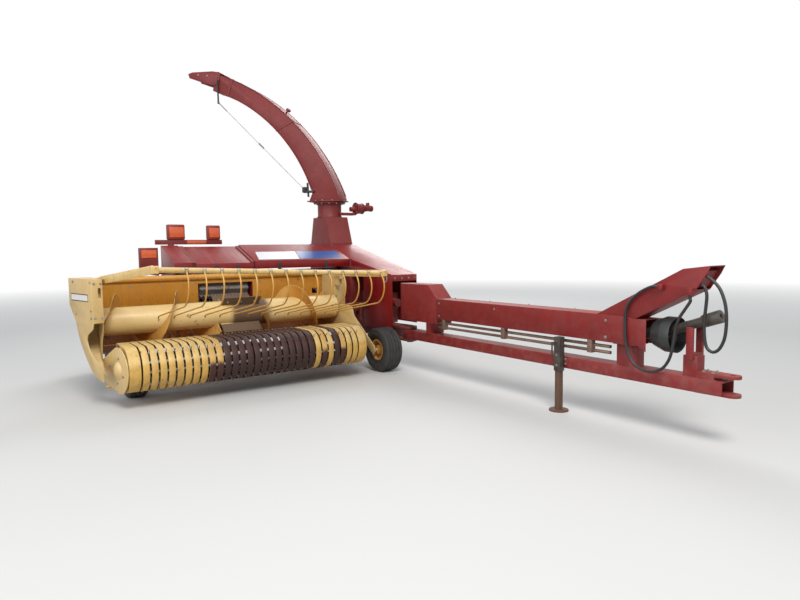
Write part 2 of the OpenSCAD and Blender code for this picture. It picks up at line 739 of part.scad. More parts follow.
module shield_arm() {
    w = 176;
    top = shield_z + shield_h;
    outline = [[arm_start, top + seat], [3130, 1120], [3310, 1142], [3285, 1090], [3215, 985], [2790, top - 12 + seat],
        [2700, top + seat]];
    inside = [[2750, top + 10], [3130, 1114], [3330, 1138], [3300, 1084], [3225, 994], [2780, top + 5]];
    color(red) difference() {
        side_sheet(draw_y - w / 2, w, outline);
        side_sheet(draw_y - w / 2 + 4, w - 8, inside);
    }
    // hose block in the arm's end, and two couplers on its near side
    color(red) side_sheet(draw_y - w / 2 + 3, w - 6, [[3150, 1010], [3205, 1000], [3270, 1108], [3225, 1126]]);
    color(steel) {
        block([2975.3, hose_left_y - 14, 984], [3010, draw_y - w / 2 + 1, 1016]);
        block([3180, hose_left_y - 14, 955], [3212, draw_y - w / 2 + 1, 1000]);
    }
}

module jack_post() {
    s = jack_post_w / 2;
    c = jack_leg_w / 2 + 0.4;
    color(black) difference() {
        block([jack_x - s, jack_y - s, beam_z - 20], [jack_x + s, jack_y + s, shield_z - 6]);
        block([jack_x - c, jack_y - c, beam_z - 30], [jack_x + c, jack_y + c, shield_z - 20]);
    }
    // crank on top
    color(steel) {
        rod_y([jack_x, jack_y - s - 60, 540], 61, 14);
        rod_z([jack_x, jack_y - s - 54, 440], 100, 12);
    }
}

module jack_leg() {
    s = jack_leg_w / 2;
    color(rust) {
        block([jack_x - s, jack_y - s, 11], [jack_x + s, jack_y + s, 385]);
        rod_z([jack_x, jack_y, 0], 12, 150);
    }
}

module pto_guard() {
    color(black) translate([2905, draw_y, 678]) rotate([0, 90, 0]) difference() {
        union() {
            cylinder(d1 = 178, d2 = 240, h = 80);
            translate([0, 0, 79.9]) cylinder(d = 240, h = 70);
        }
        translate([0, 0, 6]) cylinder(d1 = 172, d2 = 230, h = 75);
        translate([0, 0, 80]) cylinder(d = 230, h = 80);
        translate([0, 0, -1]) cylinder(d = 70, h = 20);
    }
    // bearing sleeve of the shaft, and its tube back into the shield
    color(steel) {
        translate([pto_start[0], draw_y, pto_start[1]]) rotate([0, 90 - pto_slope, 0]) difference() {
            translate([0, 0, -78]) cylinder(d = 92, h = 60);
            translate([0, 0, -70]) cylinder(d = 62 + 2 * pin_gap, h = 80);
        }
        translate([2700, draw_y, 672]) rotate([0, 90, 0]) cylinder(d = 80, h = 208);
    }
}

module pto_shaft() {
    color(steel) translate([pto_start[0], draw_y, pto_start[1]]) rotate([0, 90 - pto_slope, 0]) {
        translate([0, 0, -68]) cylinder(d = 62, h = 338);
        translate([0, 0, 265]) difference() {
            cylinder(d = 84, h = 112);
            translate([0, 0, 30]) cylinder(d = pto_bore_d, h = 100);
        }
    }
}

module steel_tubes() {
    color(steel) for (z = [505, 548])
        rod_x([shield_rear + seat, draw_y - 58, z], 2580 - shield_rear - seat, 24);
    // clamps under the shield's near wall
    color(steel) for (x = [700, 1500, 2400])
        block([x, draw_y - 95, 490], [x + 40, draw_y - 50, shield_z - seat]);
}

// Header

module header_back() {
    z0 = auger_z + seat;
    y0 = -column_in + seat;
    y1 = left_in - seat;
    color(yellow) {
        difference() {
            block([back_x - header_t, y0, z0], [back_x, y1, rail_z]);
            block([back_x - 20, throat_y - throat_w / 2, z0 - 1], [back_x + 20, throat_y + throat_w / 2, rail_z - 60]);
            block([back_x - 20, 1000, 800], [back_x + 20, 1060, 860]);
        }
        rod_y([back_x - header_t / 2, y0, rail_z], y1 - y0, rail_d);
        // ears of the lift hinge
        difference() {
            for (y = [housing_right - run_gap - 14, housing_left + run_gap])
                side_sheet(y, 14, concat([[back_x - 1, lift_z + 36], [back_x - 1, lift_z - 110]],
                    backwards(arc(lift_x, lift_z, 38, 90, 270))));
            rod_y([lift_x, housing_right - 60, lift_z], housing_left - housing_right + 120, lift_pin_d + 2 * pin_gap);
        }
    }
}

module header_trough() {
    y0 = -column_in + seat;
    y1 = left_in - seat;
    outer = arc(auger_x, auger_z, trough_r + header_t, 180, 305, 20);
    inner = arc(auger_x, auger_z, trough_r, 305, 180, 20);
    lip = [[pan_lip_x, pan_lip_z - header_t], [pan_lip_x, pan_lip_z]];
    color(yellow) side_sheet(y0, y1 - y0, concat(outer, lip, inner));
}

// Outline of the sheets that close the trough's ends
trough_end = [[-778, 600], [-776, 700], [-130, 700], [-90, 610], [-20, 530], [40, 470],
    [40, 250], [-40, 215], [-330, 235], [-470, 330], [-640, 420], [-740, 510]];

// The right one stops behind the pickup's drum
trough_end_right = [[-778, 600], [-776, 700], [-165, 702], [-200, 610], [-255, 540], [-272, 500], [-282, 440],
    [-300, 340], [-345, 240], [-470, 330], [-640, 420], [-740, 510]];

// Flared outer side of the right end, its Y at a place along X
function flare_y(x) = -column_in - column_w + (x - column_front) * sin(column_flare);

// Outer plate below the right column, swept down to the pickup's end, and the sill that joins it to the inner plate
module outer_plate() {
    rear_edge = [[-547, 702], [-530, 668], [-512, 625], [-490, 575], [-450, 512], [-400, 450], [-340, 385],
        [-270, 318], [-190, 268], [-110, 248], [-30, 238]];
    front_edge = [[-30, 405], [-120, 392], [-190, 410], [-250, 448], [-300, 500], [-322, 550], [-300, 595],
        [-240, 625], [-190, 650], [-165, 702]];
    sill_edge = [for (i = [0 : 8]) rear_edge[i]];
    sill = concat(sill_edge, backwards([for (p = sill_edge) p + [4, 5]]));
    y_far = flare_y(column_rear);
    intersection() {
        side_sheet(y_far, -column_in - y_far, concat(rear_edge, front_edge));
        plan_sheet(200, 520, [[column_rear, flare_y(column_rear)], [180, flare_y(180)],
            [180, flare_y(180) + header_t + 1], [column_rear, flare_y(column_rear) + header_t + 1]]);
    }
    intersection() {
        side_sheet(y_far, -column_in - y_far, sill);
        plan_sheet(200, 520, [[column_rear, flare_y(column_rear) + 1], [180, flare_y(180) + 1],
            [180, -column_in - 1], [column_rear, -column_in - 1]]);
    }
}

// Inner side of the guard on the pickup's right end, its Y at a place along X
function guard_y(x) = -pickup_right - 6 - (band_r + 4 - x) * tan(end_flare);

// Teardrop plate over the pickup's right end, with a domed cap in front of the reel's bearing
module end_guard() {
    r = band_r + 4;
    tail = -375;
    dome_d = 150;
    dome_h = 30;
    dome_r = (dome_d * dome_d / 4 + dome_h * dome_h) / (2 * dome_h);
    intersection() {
        side_sheet(guard_y(tail) - 10, 200, concat(arc(0, reel_z, r, 100, -85, 16),
            [[tail, reel_z - 106], [tail, reel_z + 28]]));
        plan_sheet(0, 800, [[r + 5, guard_y(r + 5)], [tail - 5, guard_y(tail - 5)],
            [tail - 5, guard_y(tail - 5) - 6], [r + 5, guard_y(r + 5) - 6]]);
    }
    translate([0, guard_y(0) - 5.5, reel_z]) rotate([90, 0, end_flare]) rotate_extrude()
        polygon(concat([[0, -1], [dome_d / 2, -1]],
            arc(0, dome_h - dome_r, dome_r, acos(dome_d / 2 / dome_r), 84, 7), [[0, dome_h - dome_r + dome_r * sin(84)]]));
}

module end_column_right() {
    y_in = -column_in;
    y_front = y_in - column_w;
    y_rear = y_front - column_len * sin(column_flare);
    color(yellow) {
        difference() {
            union() {
                // box with a flared outer side and a slanted lower corner at the back
                intersection() {
                    plan_sheet(700, column_top - 700, [[column_front, y_in], [column_front, y_front],
                        [column_rear, y_rear], [column_rear, y_in]]);
                    side_sheet(y_rear - 1, y_in - y_rear + 2, [[column_rear, column_top], [column_front, column_top],
                        [column_front, 700], [-545, 700], [column_rear, 830]]);
                }
                side_sheet(y_in - header_t, header_t, trough_end_right);
                outer_plate();
            }
            rod_y([auger_x, y_in - 60, auger_z], 70, auger_stub_d + 2 * pin_gap);
            block([-158 - 60, y_in - 34, 905], [column_front + 1, y_in - 12, 985]);
            // inside of the box, open at the back
            plan_sheet(706, column_top - 712, [[column_front - 70, y_in - 6], [column_front - 70, y_front + 6],
                [column_rear - 10, y_rear + 4], [column_rear - 10, y_in - 6]]);
        }
        // windguard pin
        rod_y([guard_hinge_x, y_in - 1, guard_hinge_z], 24, guard_pin_d);
        end_guard();
    }
}

module end_column_left() {
    color(yellow) {
        difference() {
            union() {
                side_sheet(left_in, header_t, trough_end);
                difference() {
                    block([left_rear, left_in + 1, 540], [left_front, left_out, 1000]);
                    block([left_rear - 5, left_in + header_t + 1, 546], [left_front - 50, left_out - 6, 994]);
                }
                block([-450, left_in + 1, 900], [left_front + 1, left_in + 14, guard_hinge_z + 24]);
                block([left_front - 1, left_in + 1, 900], [-395, left_in + 14, guard_hinge_z + 24]);
            }
            rod_y([auger_x, left_in - 5, auger_z], 40, auger_stub_d + 2 * pin_gap);
            rod_y([0, left_in - 5, reel_z], 30, reel_stub_d + 2 * pin_gap);
            block([left_front - 40, left_in + 60, 900], [left_front + 1, left_in + 95, 960]);
        }
        rod_y([guard_hinge_x, left_in - 22, guard_hinge_z], 24, guard_pin_d);
    }
}

// Stripper bands: a half round front with straight tails back to the pan and the lower rail
module strippers() {
    function band_outline(r) = concat([[pan_lip_x + 8, pan_lip_z + 10 + r - band_r]],
        arc(0, reel_z, r, 92, -92, 24), [[low_rail_x, low_rail_z + band_r - r]]);
    outer = band_outline(band_r);
    inner = band_outline(band_r - band_t);
    strip = concat(outer, backwards(inner));
    color(yellow) {
        for (i = [0 : band_count - 1])
            side_sheet(-reel_half + (i + 0.5) * band_pitch - band_w / 2, band_w, strip);
        // plain drums at the two ends
        side_sheet(-pickup_right, drum_right - 6, strip);
        side_sheet(reel_half + 6, drum_left - 6, strip);
        block([pan_lip_x + seat, -pickup_right, pan_lip_z + 10 - 28], [pan_lip_x + 12, pickup_left, pan_lip_z + 10 - 2]);
        rod_y([low_rail_x, -column_in + seat, low_rail_z], column_in + left_in - 2 * seat, low_rail_d);
        // plates that close the two drums and carry the reel
        for (y = [-pickup_right, pickup_left - 6]) difference() {
            side_sheet(y, 6, concat(arc(0, reel_z, band_r - 1, 90, -90, 16), [[-150, reel_z - band_r + 22],
                [-150, reel_z + band_r - 4]]));
            rod_y([0, y - 1, reel_z], 10, reel_stub_d + 2 * pin_gap);
        }
    }
}

module gauge_arms() {
    y_left = gauge_left_y - gauge_w / 2 - 12;
    y_right = -gauge_right_y + small_gauge_w / 2 + 8;
    color(yellow) {
        // left: arm from the end column down to the axle
        side_sheet(y_left - 12, 12, [[-560, 560], [-480, 600], [-20, 270], [-10, 210], [-60, 195]]);
        block([-560, left_out + seat, 556], [-490, y_left - 11, 600]);
        rod_y([-gauge_back, y_left - 1, gauge_d / 2], gauge_w + 12, 35);
        rod_y([-gauge_back, y_left + gauge_w * 0.82, gauge_d / 2], 8, 50);
        // right: arm under the trough
        side_sheet(y_right, 10, [[-490, 394], [-380, 394], [-400, 165], [-460, 165]]);
        rod_y([-small_gauge_back, -gauge_right_y - small_gauge_w * 0.42, small_gauge_d / 2],
            small_gauge_w * 0.92 + 12, 30);
    }
}

module auger_tube() {
    color(yellow) translate([auger_x, 0, auger_z]) rotate([-90, 0, 0]) {
        translate([0, 0, -auger_end_right]) difference() {
            cylinder(d = auger_tube_d, h = auger_end_right + auger_end_left);
            translate([0, 0, 10]) cylinder(d = auger_tube_d - 14, h = auger_end_right + auger_end_left - 20);
        }
        for (z = [-auger_end_right - 30, auger_end_left - 1])
            translate([0, 0, z]) cylinder(d = auger_stub_d, h = 31);
    }
    // centre paddles
    color(rust) for (a = [45 : 90 : 315]) translate([auger_x, 0, auger_z]) rotate([0, a, 0])
        block([-4, -150, auger_tube_d / 2 - 2], [4, 230, flight_d / 2 - 15]);
}

// A helical flight as one closed strip from y0, right or left handed
module flight(y0, turns, hand) {
    n = 24;
    steps = ceil(turns * n);
    r0 = auger_tube_d / 2 / cos(180 / n) + seat;
    r1 = flight_d / 2;
    rings = [for (i = [0 : steps]) let (a = hand * i * 360 / n, y = y0 + i * flight_pitch / n)
        [[r0 * cos(a), y, r0 * sin(a)], [r1 * cos(a), y, r1 * sin(a)],
         [r1 * cos(a), y + flight_t, r1 * sin(a)], [r0 * cos(a), y + flight_t, r0 * sin(a)]]];
    pts = [for (ring = rings) each ring];
    last = 4 * steps;
    sides = [for (i = [0 : steps - 1]) each [for (k = [0 : 3]) let (a = 4 * i + k, b = 4 * i + (k + 1) % 4)
        each [[a, b, b + 4], [a, b + 4, a + 4]]]];
    ends = [[3, 2, 1, 0], [last, last + 1, last + 2, last + 3]];
    all = concat(sides, ends);
    translate([auger_x, 0, auger_z]) polyhedron(points = pts,
        faces = hand > 0 ? all : [for (f = all) backwards(f)]);
}
module auger_flights() {
    color(yellow) {
        flight(-auger_end_right + 10, 1.9, 1);
        flight(240, 1.6, -1);
    }
}

module tine_reel() {
    gaps = band_count + 1;
    color(rust) translate([0, 0, reel_z]) {
        rod_y([0, -pickup_right + 12, 0], pickup_right + pickup_left - 24, 60);
        rod_y([0, -pickup_right - 10, 0], pickup_right + pickup_left + 20, reel_stub_d);
        for (y = [-reel_half + band_pitch / 2, 0, reel_half - band_pitch / 2])
            rod_y([0, y - 4, 0], 8, 2 * bar_circle_r + 34);
        for (b = [0 : tine_bars - 1]) rotate([0, 45 + b * 360 / tine_bars, 0]) {
            rod_y([bar_circle_r, -reel_half - 20, 0], 2 * reel_half + 40, 28);
            for (i = [0 : gaps - 1])
                rod_x([bar_circle_r, -reel_half + i * band_pitch, 0], tine_tip_r - bar_circle_r, tine_d);
        }
    }
}

// Height of the windguard's tube at a side place
function guard_tube_z(y) = guard_z - y * tan(guard_tilt);
rod_first = -750;

// One rod's line from the tube's face: forward bow, knee, straight tail and hooked tip
rod_arc_r = 150;
rod_knee = [-75 + rod_arc_r * cos(80), 0, -130 - rod_arc_r * sin(80)];
rod_end = rod_knee + rod_tail * [-cos(10), 0, -sin(10)];
guard_rod = concat([for (a = [51.8, 38, 22, 6, -10, -26, -42, -56, -68, -80]) [-75 + rod_arc_r * cos(a), 0, -130 + rod_arc_r * sin(a)]],
    [rod_end, rod_end + 30 * [-cos(50), 0, -sin(50)]]);

module guard_arm(y0, y1, z1) {
    intersection() {
        plan_sheet(900, 400, [[guard_hinge_x - 32, y0], [guard_hinge_x - 32, y0 + 12], [guard_hinge_x + 160, y0 + 12],
            [guard_x + 22, y1 + 12], [guard_x + 22, y1], [guard_hinge_x + 170, y0]]);
        side_sheet(min(y0, y1) - 5, abs(y1 - y0) + 30, concat(
            arc(guard_hinge_x, guard_hinge_z, 32, 90, 270, 12),
            [[guard_x, z1 - 32], [guard_x + 22, z1 - 20], [guard_x + 22, z1 + 20], [guard_x, z1 + 32]]));
    }
}

module windguard() {
    y_a = rod_first - 250;
    y_b = rod_first + rod_pitch * (rod_count - 1) + 70;
    right_arm = -column_in + run_gap;
    left_arm = left_in - run_gap - 12;
    color(yellow) {
        difference() {
            union() {
                guard_arm(right_arm, y_a + 8, guard_tube_z(y_a));
                guard_arm(left_arm, y_b - 20, guard_tube_z(y_b));
            }
            rod_y([guard_hinge_x, right_arm - 10, guard_hinge_z], left_arm - right_arm + 40, guard_pin_d + 2 * pin_gap);
        }
        translate([guard_x, 0, guard_z]) rotate([-guard_tilt, 0, 0])
            rod_y([0, y_a, 0], y_b - y_a, guard_d);
    }
}

module guard_rods() {
    color(yellow) translate([guard_x, 0, guard_z]) rotate([-guard_tilt, 0, 0])
        for (i = [0 : rod_count - 1])
            translate([0, rod_first + i * rod_pitch, 0]) sweep(guard_rod, rod_d);
}

// Hoses at the front of the drawbar: route points, then smooth curves through them
hose_d = 20;
hose_left_y = 1612;
hose_left_route = [[2975, 1000], [2953, 1000], [2931, 1000], [2885, 982], [2830, 950], [2770, 895], [2738, 830], [2732, 740], [2738, 620],
    [2762, 525], [2806, 462], [2872, 432], [2947, 430], [3018, 464], [3062, 526], [3082, 594], [3094, 670],
    [3104, 736], [3124, 800], [3160, 858], [3196, 914], [3196, 934], [3196, 954.6]];
hose_right_y = 1655;
hose_right_route = [[3257.7, 1086.1], [3310, 1054], [3360, 1000], [3392, 920], [3404, 840], [3404, 760], [3394, 690],
    [3366, 630], [3326, 606], [3288, 630], [3271, 700], [3268, 800],
    [3276, 890], [3279, 960], [3262.6, 1009.5], [3243.8, 1020.8], [3224.9, 1032.2]];

function catmull(a, b, c, d, t) = 0.5 * (2 * b + (c - a) * t + (2 * a - 5 * b + 4 * c - d) * t * t
    + (3 * b - a - 3 * c + d) * t * t * t);
function smooth(list, y) = let (n = len(list) - 1) [for (i = [0 : n], t = i == n ? [0] : [0, 0.5])
    let (p = catmull(list[max(i - 1, 0)], list[i], list[min(i + 1, n)], list[min(i + 2, n)], t)) [p[0], y, p[1]]];

module hose_left() { color(black) sweep(smooth(hose_left_route, hose_left_y), hose_d, 10); }
module hose_right() { color(black) sweep(smooth(hose_right_route, hose_right_y), hose_d, 10); }

module gauge_tyre_left() { color(black) tyre(-gauge_back, gauge_left_y, gauge_d, gauge_w, 203); }
module gauge_rim_left() { color(yellow) rim(-gauge_back, gauge_left_y, gauge_d, gauge_w, 203, -1, 90, 35); }
module gauge_tyre_right() {
    color(black) tyre(-small_gauge_back, -gauge_right_y, small_gauge_d, small_gauge_w, 152);
}
module gauge_rim_right() {
    color(yellow) rim(-small_gauge_back, -gauge_right_y, small_gauge_d, small_gauge_w, 152, 1, 70, 30);
}

to_origin() {
    main_frame();
    axle();
    cutterhead_housing();
    feed_housing();
    blower_housing();
    turret_collar();
    hood_left();
    hood_centre();
    hood_right();
    side_shield();
    light_bar();
    lamps();
    gearbox();
    main_tyre_left();
    main_rim_left();
    main_tyre_right();
    main_rim_right();
    feed_roll_upper();
    feed_roll_lower();
    spout();
    deflector();
    drawbar();
    pivot_box();
    driveline_shield();
    shield_arm();
    jack_post();
    jack_leg();
    pto_guard();
    pto_shaft();
    steel_tubes();
    header_back();
    header_trough();
    end_column_right();
    end_column_left();
    strippers();
    gauge_arms();
    auger_tube();
    auger_flights();
    tine_reel();
    windguard();
    guard_rods();
    gauge_tyre_left();
    gauge_rim_left();
    gauge_tyre_right();
    gauge_rim_right();
    hose_left();
    hose_right();
}
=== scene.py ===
"""Looks for a towed forage harvester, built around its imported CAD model."""

import json
import math

import bmesh
import bpy
from mathutils import Euler, Matrix, Vector


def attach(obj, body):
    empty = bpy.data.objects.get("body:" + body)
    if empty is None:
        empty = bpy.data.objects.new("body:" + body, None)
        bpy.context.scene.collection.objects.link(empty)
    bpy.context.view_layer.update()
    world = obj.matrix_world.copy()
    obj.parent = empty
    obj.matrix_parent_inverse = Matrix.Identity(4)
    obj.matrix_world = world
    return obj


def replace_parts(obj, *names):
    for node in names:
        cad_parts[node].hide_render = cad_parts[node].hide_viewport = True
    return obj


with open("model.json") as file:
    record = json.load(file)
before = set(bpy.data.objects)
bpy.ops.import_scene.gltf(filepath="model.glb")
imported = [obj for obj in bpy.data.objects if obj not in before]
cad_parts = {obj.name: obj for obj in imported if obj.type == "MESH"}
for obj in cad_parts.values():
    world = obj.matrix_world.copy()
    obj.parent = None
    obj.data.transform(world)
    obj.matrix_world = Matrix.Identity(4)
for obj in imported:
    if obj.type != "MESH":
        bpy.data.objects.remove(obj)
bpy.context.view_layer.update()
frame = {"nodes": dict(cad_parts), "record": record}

# Reference point
# Places are given as on the machine itself, in metres from the middle of the pickup reel:
# X towards the tractor, Y towards the machine's left, Z up from the ground.
reel_offset = Vector((0.0978, 0.4755, 0.0))


def at(x, y, z):
    return Vector((x, y, z)) - reel_offset


def rows(*axes):
    """Every place that x, y and z make, where each is one number or several."""
    xs, ys, zs = [values if isinstance(values, (list, tuple)) else [values] for values in axes]
    return [at(x, y, z) for x in xs for y in ys for z in zs]


def placed(name, data):
    made = bpy.data.objects.new(name, data)
    bpy.context.scene.collection.objects.link(made)
    return made


# Camera
# It stands where the photographer stood, in front of the pickup's right end,
# a little above the height of a standing machine's drawbar.
camera = bpy.data.objects.new("camera", bpy.data.cameras.new("camera"))
camera.data.lens = 27.84
camera.data.sensor_width = 36
camera_tilt = Euler((math.radians(90 - 4.658), 0, math.radians(54.752))).to_matrix()
camera_roll = Matrix.Rotation(math.radians(-0.724), 3, "Z")
camera.rotation_euler = (camera_tilt @ camera_roll).to_euler()
camera.location = at(5.311, -2.119, 1.265)
bpy.context.scene.collection.objects.link(camera)
bpy.context.scene.camera = camera


# Shader helpers
# Every finish is a small tree of shader nodes, written as arithmetic on their sockets.
class Wire:
    """A socket, so that shader maths reads as arithmetic."""

    def __init__(self, finish, socket):
        self.finish = finish
        self.socket = socket

    def _math(self, operation, *values):
        return self.finish.node("ShaderNodeMath", {"operation": operation}, *values)

    def __add__(self, other):
        return self._math("ADD", self, other)

    __radd__ = __add__

    def __mul__(self, other):
        return self._math("MULTIPLY", self, other)

    __rmul__ = __mul__

    def __sub__(self, other):
        return self._math("SUBTRACT", self, other)

    def __rsub__(self, other):
        return self._math("SUBTRACT", other, self)

    def rise(self, low, high):
        """0 below low, 1 above high, and a smooth slope between them."""
        settings = {"interpolation_type": "SMOOTHSTEP"}
        return self.finish.node("ShaderNodeMapRange", settings, self, low, high, 0.0, 1.0)

    def wave(self):
        return self._math("SINE", self)


class Nodes:
    """Fills one node tree. Inputs take values or sockets."""

    def __init__(self, tree):
        self.tree = tree
        tree.nodes.clear()

    def put(self, socket, value):
        if isinstance(value, Wire):
            self.tree.links.new(value.socket, socket)
        elif isinstance(value, (tuple, list)) and len(value) == 3 and socket.type == "RGBA":
            socket.default_value = (*value, 1)
        else:
            socket.default_value = value

    def node(self, kind, settings, *values, out=0, **named):
        made = self.tree.nodes.new(kind)
        for key, value in settings.items():
            setattr(made, key, value)
        for socket, value in zip(made.inputs, values):
            self.put(socket, value)
        for key, value in named.items():
            self.put(made.inputs[key], value)
        return Wire(self, made.outputs[out])


class Finish(Nodes):
    """One procedural material, in the object's own coordinates."""

    def __init__(self, name):
        self.material = bpy.data.materials.new(name)
        self.material.use_nodes = True
        super().__init__(self.material.node_tree)
        self.shader = self.tree.nodes.new("ShaderNodeBsdfPrincipled")
        output = self.tree.nodes.new("ShaderNodeOutputMaterial")
        self.surface = output.inputs["Surface"]
        self.tree.links.new(self.shader.outputs["BSDF"], self.surface)
        self.place = self.node("ShaderNodeTexCoord", {}, out="Object")
        self.x, self.y, self.z = [self.node("ShaderNodeSeparateXYZ", {}, self.place, out=k) for k in range(3)]
        self.bumped = None

    def stretched(self, x, y, z):
        return self.node("ShaderNodeVectorMath", {"operation": "MULTIPLY"}, self.place, (x, y, z))

    def noise(self, scale, detail=4.0, rough=0.55, place=None):
        return self.node("ShaderNodeTexNoise", {}, Vector=place or self.place, Scale=scale, Detail=detail,
                         Roughness=rough)

    def upward(self):
        """How far the surface faces up."""
        normal = self.node("ShaderNodeNewGeometry", {}, out="Normal")
        return self.node("ShaderNodeSeparateXYZ", {}, normal, out=2)

    def mix(self, amount, first, second):
        made = self.tree.nodes.new("ShaderNodeMix")
        made.data_type = "RGBA"
        for index, value in ((0, amount), (6, first), (7, second)):
            self.put(made.inputs[index], value)
        return Wire(self, made.outputs[2])

    def bump(self, height, strength, distance):
        extra = {"Normal": self.bumped} if self.bumped else {}
        self.bumped = self.node("ShaderNodeBump", {}, Height=height, Strength=strength, Distance=distance,
                                **extra)

    def done(self, colour, roughness, metallic=0.0, **fixed):
        self.put(self.shader.inputs["Base Color"], colour)
        self.put(self.shader.inputs["Roughness"], roughness)
        self.put(self.shader.inputs["Metallic"], metallic)
        for key, value in fixed.items():
            self.put(self.shader.inputs[key.replace("_", " ")], value)
        if self.bumped:
            self.put(self.shader.inputs["Normal"], self.bumped)
        return self.material


# Hydraulic hoses
# Black rubber hoses that drop from the raised arm, loop beside the drive shaft and sag under
# their own weight.
def hose_rubber():
    f = Finish("hose_rubber")
    dust = f.upward().rise(-0.2, 1.0) * f.noise(9, 5)
    colour = f.mix(dust * 0.55, (0.012, 0.012, 0.013), (0.10, 0.09, 0.08))
    f.bump(f.noise(420, 2), 0.25, 0.0006)
    return f.done(colour, 0.42 + dust * 0.3)


hose_black = hose_rubber()
hose_diameter = 0.020
hose_left_points = [
    (2.975, 1.000), (2.953, 1.000), (2.931, 1.000), (2.885, 0.982), (2.830, 0.950), (2.770, 0.895),
    (2.738, 0.830), (2.732, 0.740), (2.738, 0.620), (2.762, 0.525), (2.806, 0.462), (2.872, 0.432),
    (2.947, 0.430), (3.018, 0.464), (3.062, 0.526), (3.082, 0.594), (3.094, 0.670), (3.104, 0.736),
    (3.124, 0.800), (3.160, 0.858), (3.196, 0.914), (3.196, 0.934), (3.196, 0.9546),
]
hose_right_points = [
    (3.2577, 1.0861), (3.310, 1.054), (3.360, 1.000), (3.392, 0.920), (3.404, 0.840), (3.404, 0.760),
    (3.394, 0.690), (3.366, 0.630), (3.326, 0.606), (3.288, 0.630), (3.271, 0.700), (3.268, 0.800),
    (3.276, 0.890), (3.279, 0.960), (3.2626, 1.0095), (3.2438, 1.0208), (3.2249, 1.0322),
]


def between(a, b, c, d, t):
    """A place on the smooth curve from b to c, which a and d lead into and out of."""
    bend, twist = 2 * a - 5 * b + 4 * c - d, 3 * b - a - 3 * c + d
    return 0.5 * (2 * b + (c - a) * t + bend * t * t + twist * t * t * t)


def smooth_route(points, y, steps=6):
    corners = [Vector((x, y, z)) for x, z in points]
    last = len(corners) - 1
    route = []
    for i in range(last):
        a, b, c, d = corners[max(i - 1, 0)], corners[i], corners[i + 1], corners[min(i + 2, last)]
        route += [between(a, b, c, d, k / steps) for k in range(steps)]
    return [p - reel_offset for p in route + [corners[-1]]]


def lay_curve(name, route, thickness, material):
    data = bpy.data.curves.new(name, "CURVE")
    data.dimensions = "3D"
    data.bevel_depth = thickness / 2
    data.bevel_resolution = 4
    data.use_fill_caps = True
    spline = data.splines.new("POLY")
    spline.points.add(len(route) - 1)
    for point, place in zip(spline.points, route):
        point.co = (*place, 1)
    data.materials.append(material)
    return placed(name, data)


def hose(name, points, y, node):
    route = smooth_route(points, y)
    made = lay_curve(name, route, hose_diameter, hose_black)
    length = sum((b - a).length for a, b in zip(route, route[1:]))
    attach(made, "drawbar")
    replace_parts(made, node)


hose("hose_left_rubber", hose_left_points, 1.612, "hose_left")
hose("hose_right_rubber", hose_right_points, 1.655, "hose_right")


# Main frame, axle and housings
# Welded box section and folded plate under the hoods, sprayed dark red after assembly.
# Years outdoors have dulled the paint, and gravel dust lies on what faces up.
gravel_dust = (0.30, 0.26, 0.21)


def painted(name, colour, faded_and_lit, dust_top=0.7, chips=0.5, bare=(0.10, 0.045, 0.028)):
    """Sprayed paint: paler on top from sun fading and painted light from above, streaked by rain, chipped to
    rust, dusty near the ground.
    """
    f = Finish(name)
    cloud = f.noise(1.3, 5, 0.6)
    mottle = f.noise(7, 6, 0.62)
    streak = f.noise(1.0, 5, 0.6, f.stretched(26, 26, 1.4)).rise(0.45, 0.75)
    up = f.upward()
    darker = tuple(0.62 * c for c in colour)
    base = f.mix(mottle.rise(0.3, 0.75) * 0.5, colour, darker)
    base = f.mix(streak * 0.28, base, darker)
    # Upward faces turn to the paler colour: partly sun fading, partly painted light from above.
    base = f.mix(up.rise(0.15, 0.9) * (cloud * 0.5 + 0.55), base, faded_and_lit)
    low = 1 - f.z.rise(0.15, 1.1)
    dust = (low * 0.35 + up.rise(0.3, 1.0) * 0.22) * f.noise(16, 5).rise(0.3, 0.8) * dust_top
    base = f.mix(dust, base, gravel_dust)
    worn = f.noise(34, 4, 0.7).rise(0.66, 0.72) * f.noise(3.1, 3).rise(0.5, 0.66) * chips
    base = f.mix(worn, base, bare)
    f.bump(f.noise(90, 2), 0.03, 0.0004)
    f.bump(mottle, 0.05, 0.004)
    f.bump(worn, -0.3, 0.0006)
    rough = 0.46 + mottle * 0.14 + up.rise(0.1, 0.9) * 0.14 + dust * 0.3 + worn * 0.2
    return f.done(base, rough)


weld_distance = 0.00002
flat_angle = math.radians(0.6)
crease_angle = 32


def rest_mesh(node):
    """The node's CAD shape at rest, with each flat area as one face."""
    mesh = bmesh.new()
    mesh.from_mesh(frame["nodes"][node].data)
    bmesh.ops.remove_doubles(mesh, verts=mesh.verts, dist=weld_distance)
    bmesh.ops.dissolve_limit(mesh, angle_limit=flat_angle, verts=mesh.verts, edges=mesh.edges)
    return mesh


def hard_edges(mesh, angle):
    return [e for e in mesh.edges if len(e.link_faces) == 2 and e.calc_face_angle(0.0) > angle]


def soften(mesh, edges, width, segments=2):
    bmesh.ops.bevel(mesh, geom=edges, offset=width, offset_type="OFFSET", segments=segments, profile=0.5,
                    affect="EDGES", clamp_overlap=True, material=-1)


def finished(name, mesh, material, body, smooth=crease_angle):
    """Turns a bmesh into an object at the origin that rides on a body."""
    data = bpy.data.meshes.new(name)
    mesh.to_mesh(data)
    mesh.free()
    made = placed(name, data)
    for finish in material if isinstance(material, list) else [material]:
        data.materials.append(finish)
    data.shade_smooth()
    sharp = math.radians(smooth)
    shape = bmesh.new()
    shape.from_mesh(data)
    for edge in shape.edges:
        edge.smooth = len(edge.link_faces) == 2 and edge.calc_face_angle(0.0) < sharp
    shape.to_mesh(data)
    shape.free()
    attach(made, body)
    return made


def node_body(node):
    return next(body for body, nodes in frame["record"]["behaviour"]["bodies"].items() if node in nodes)


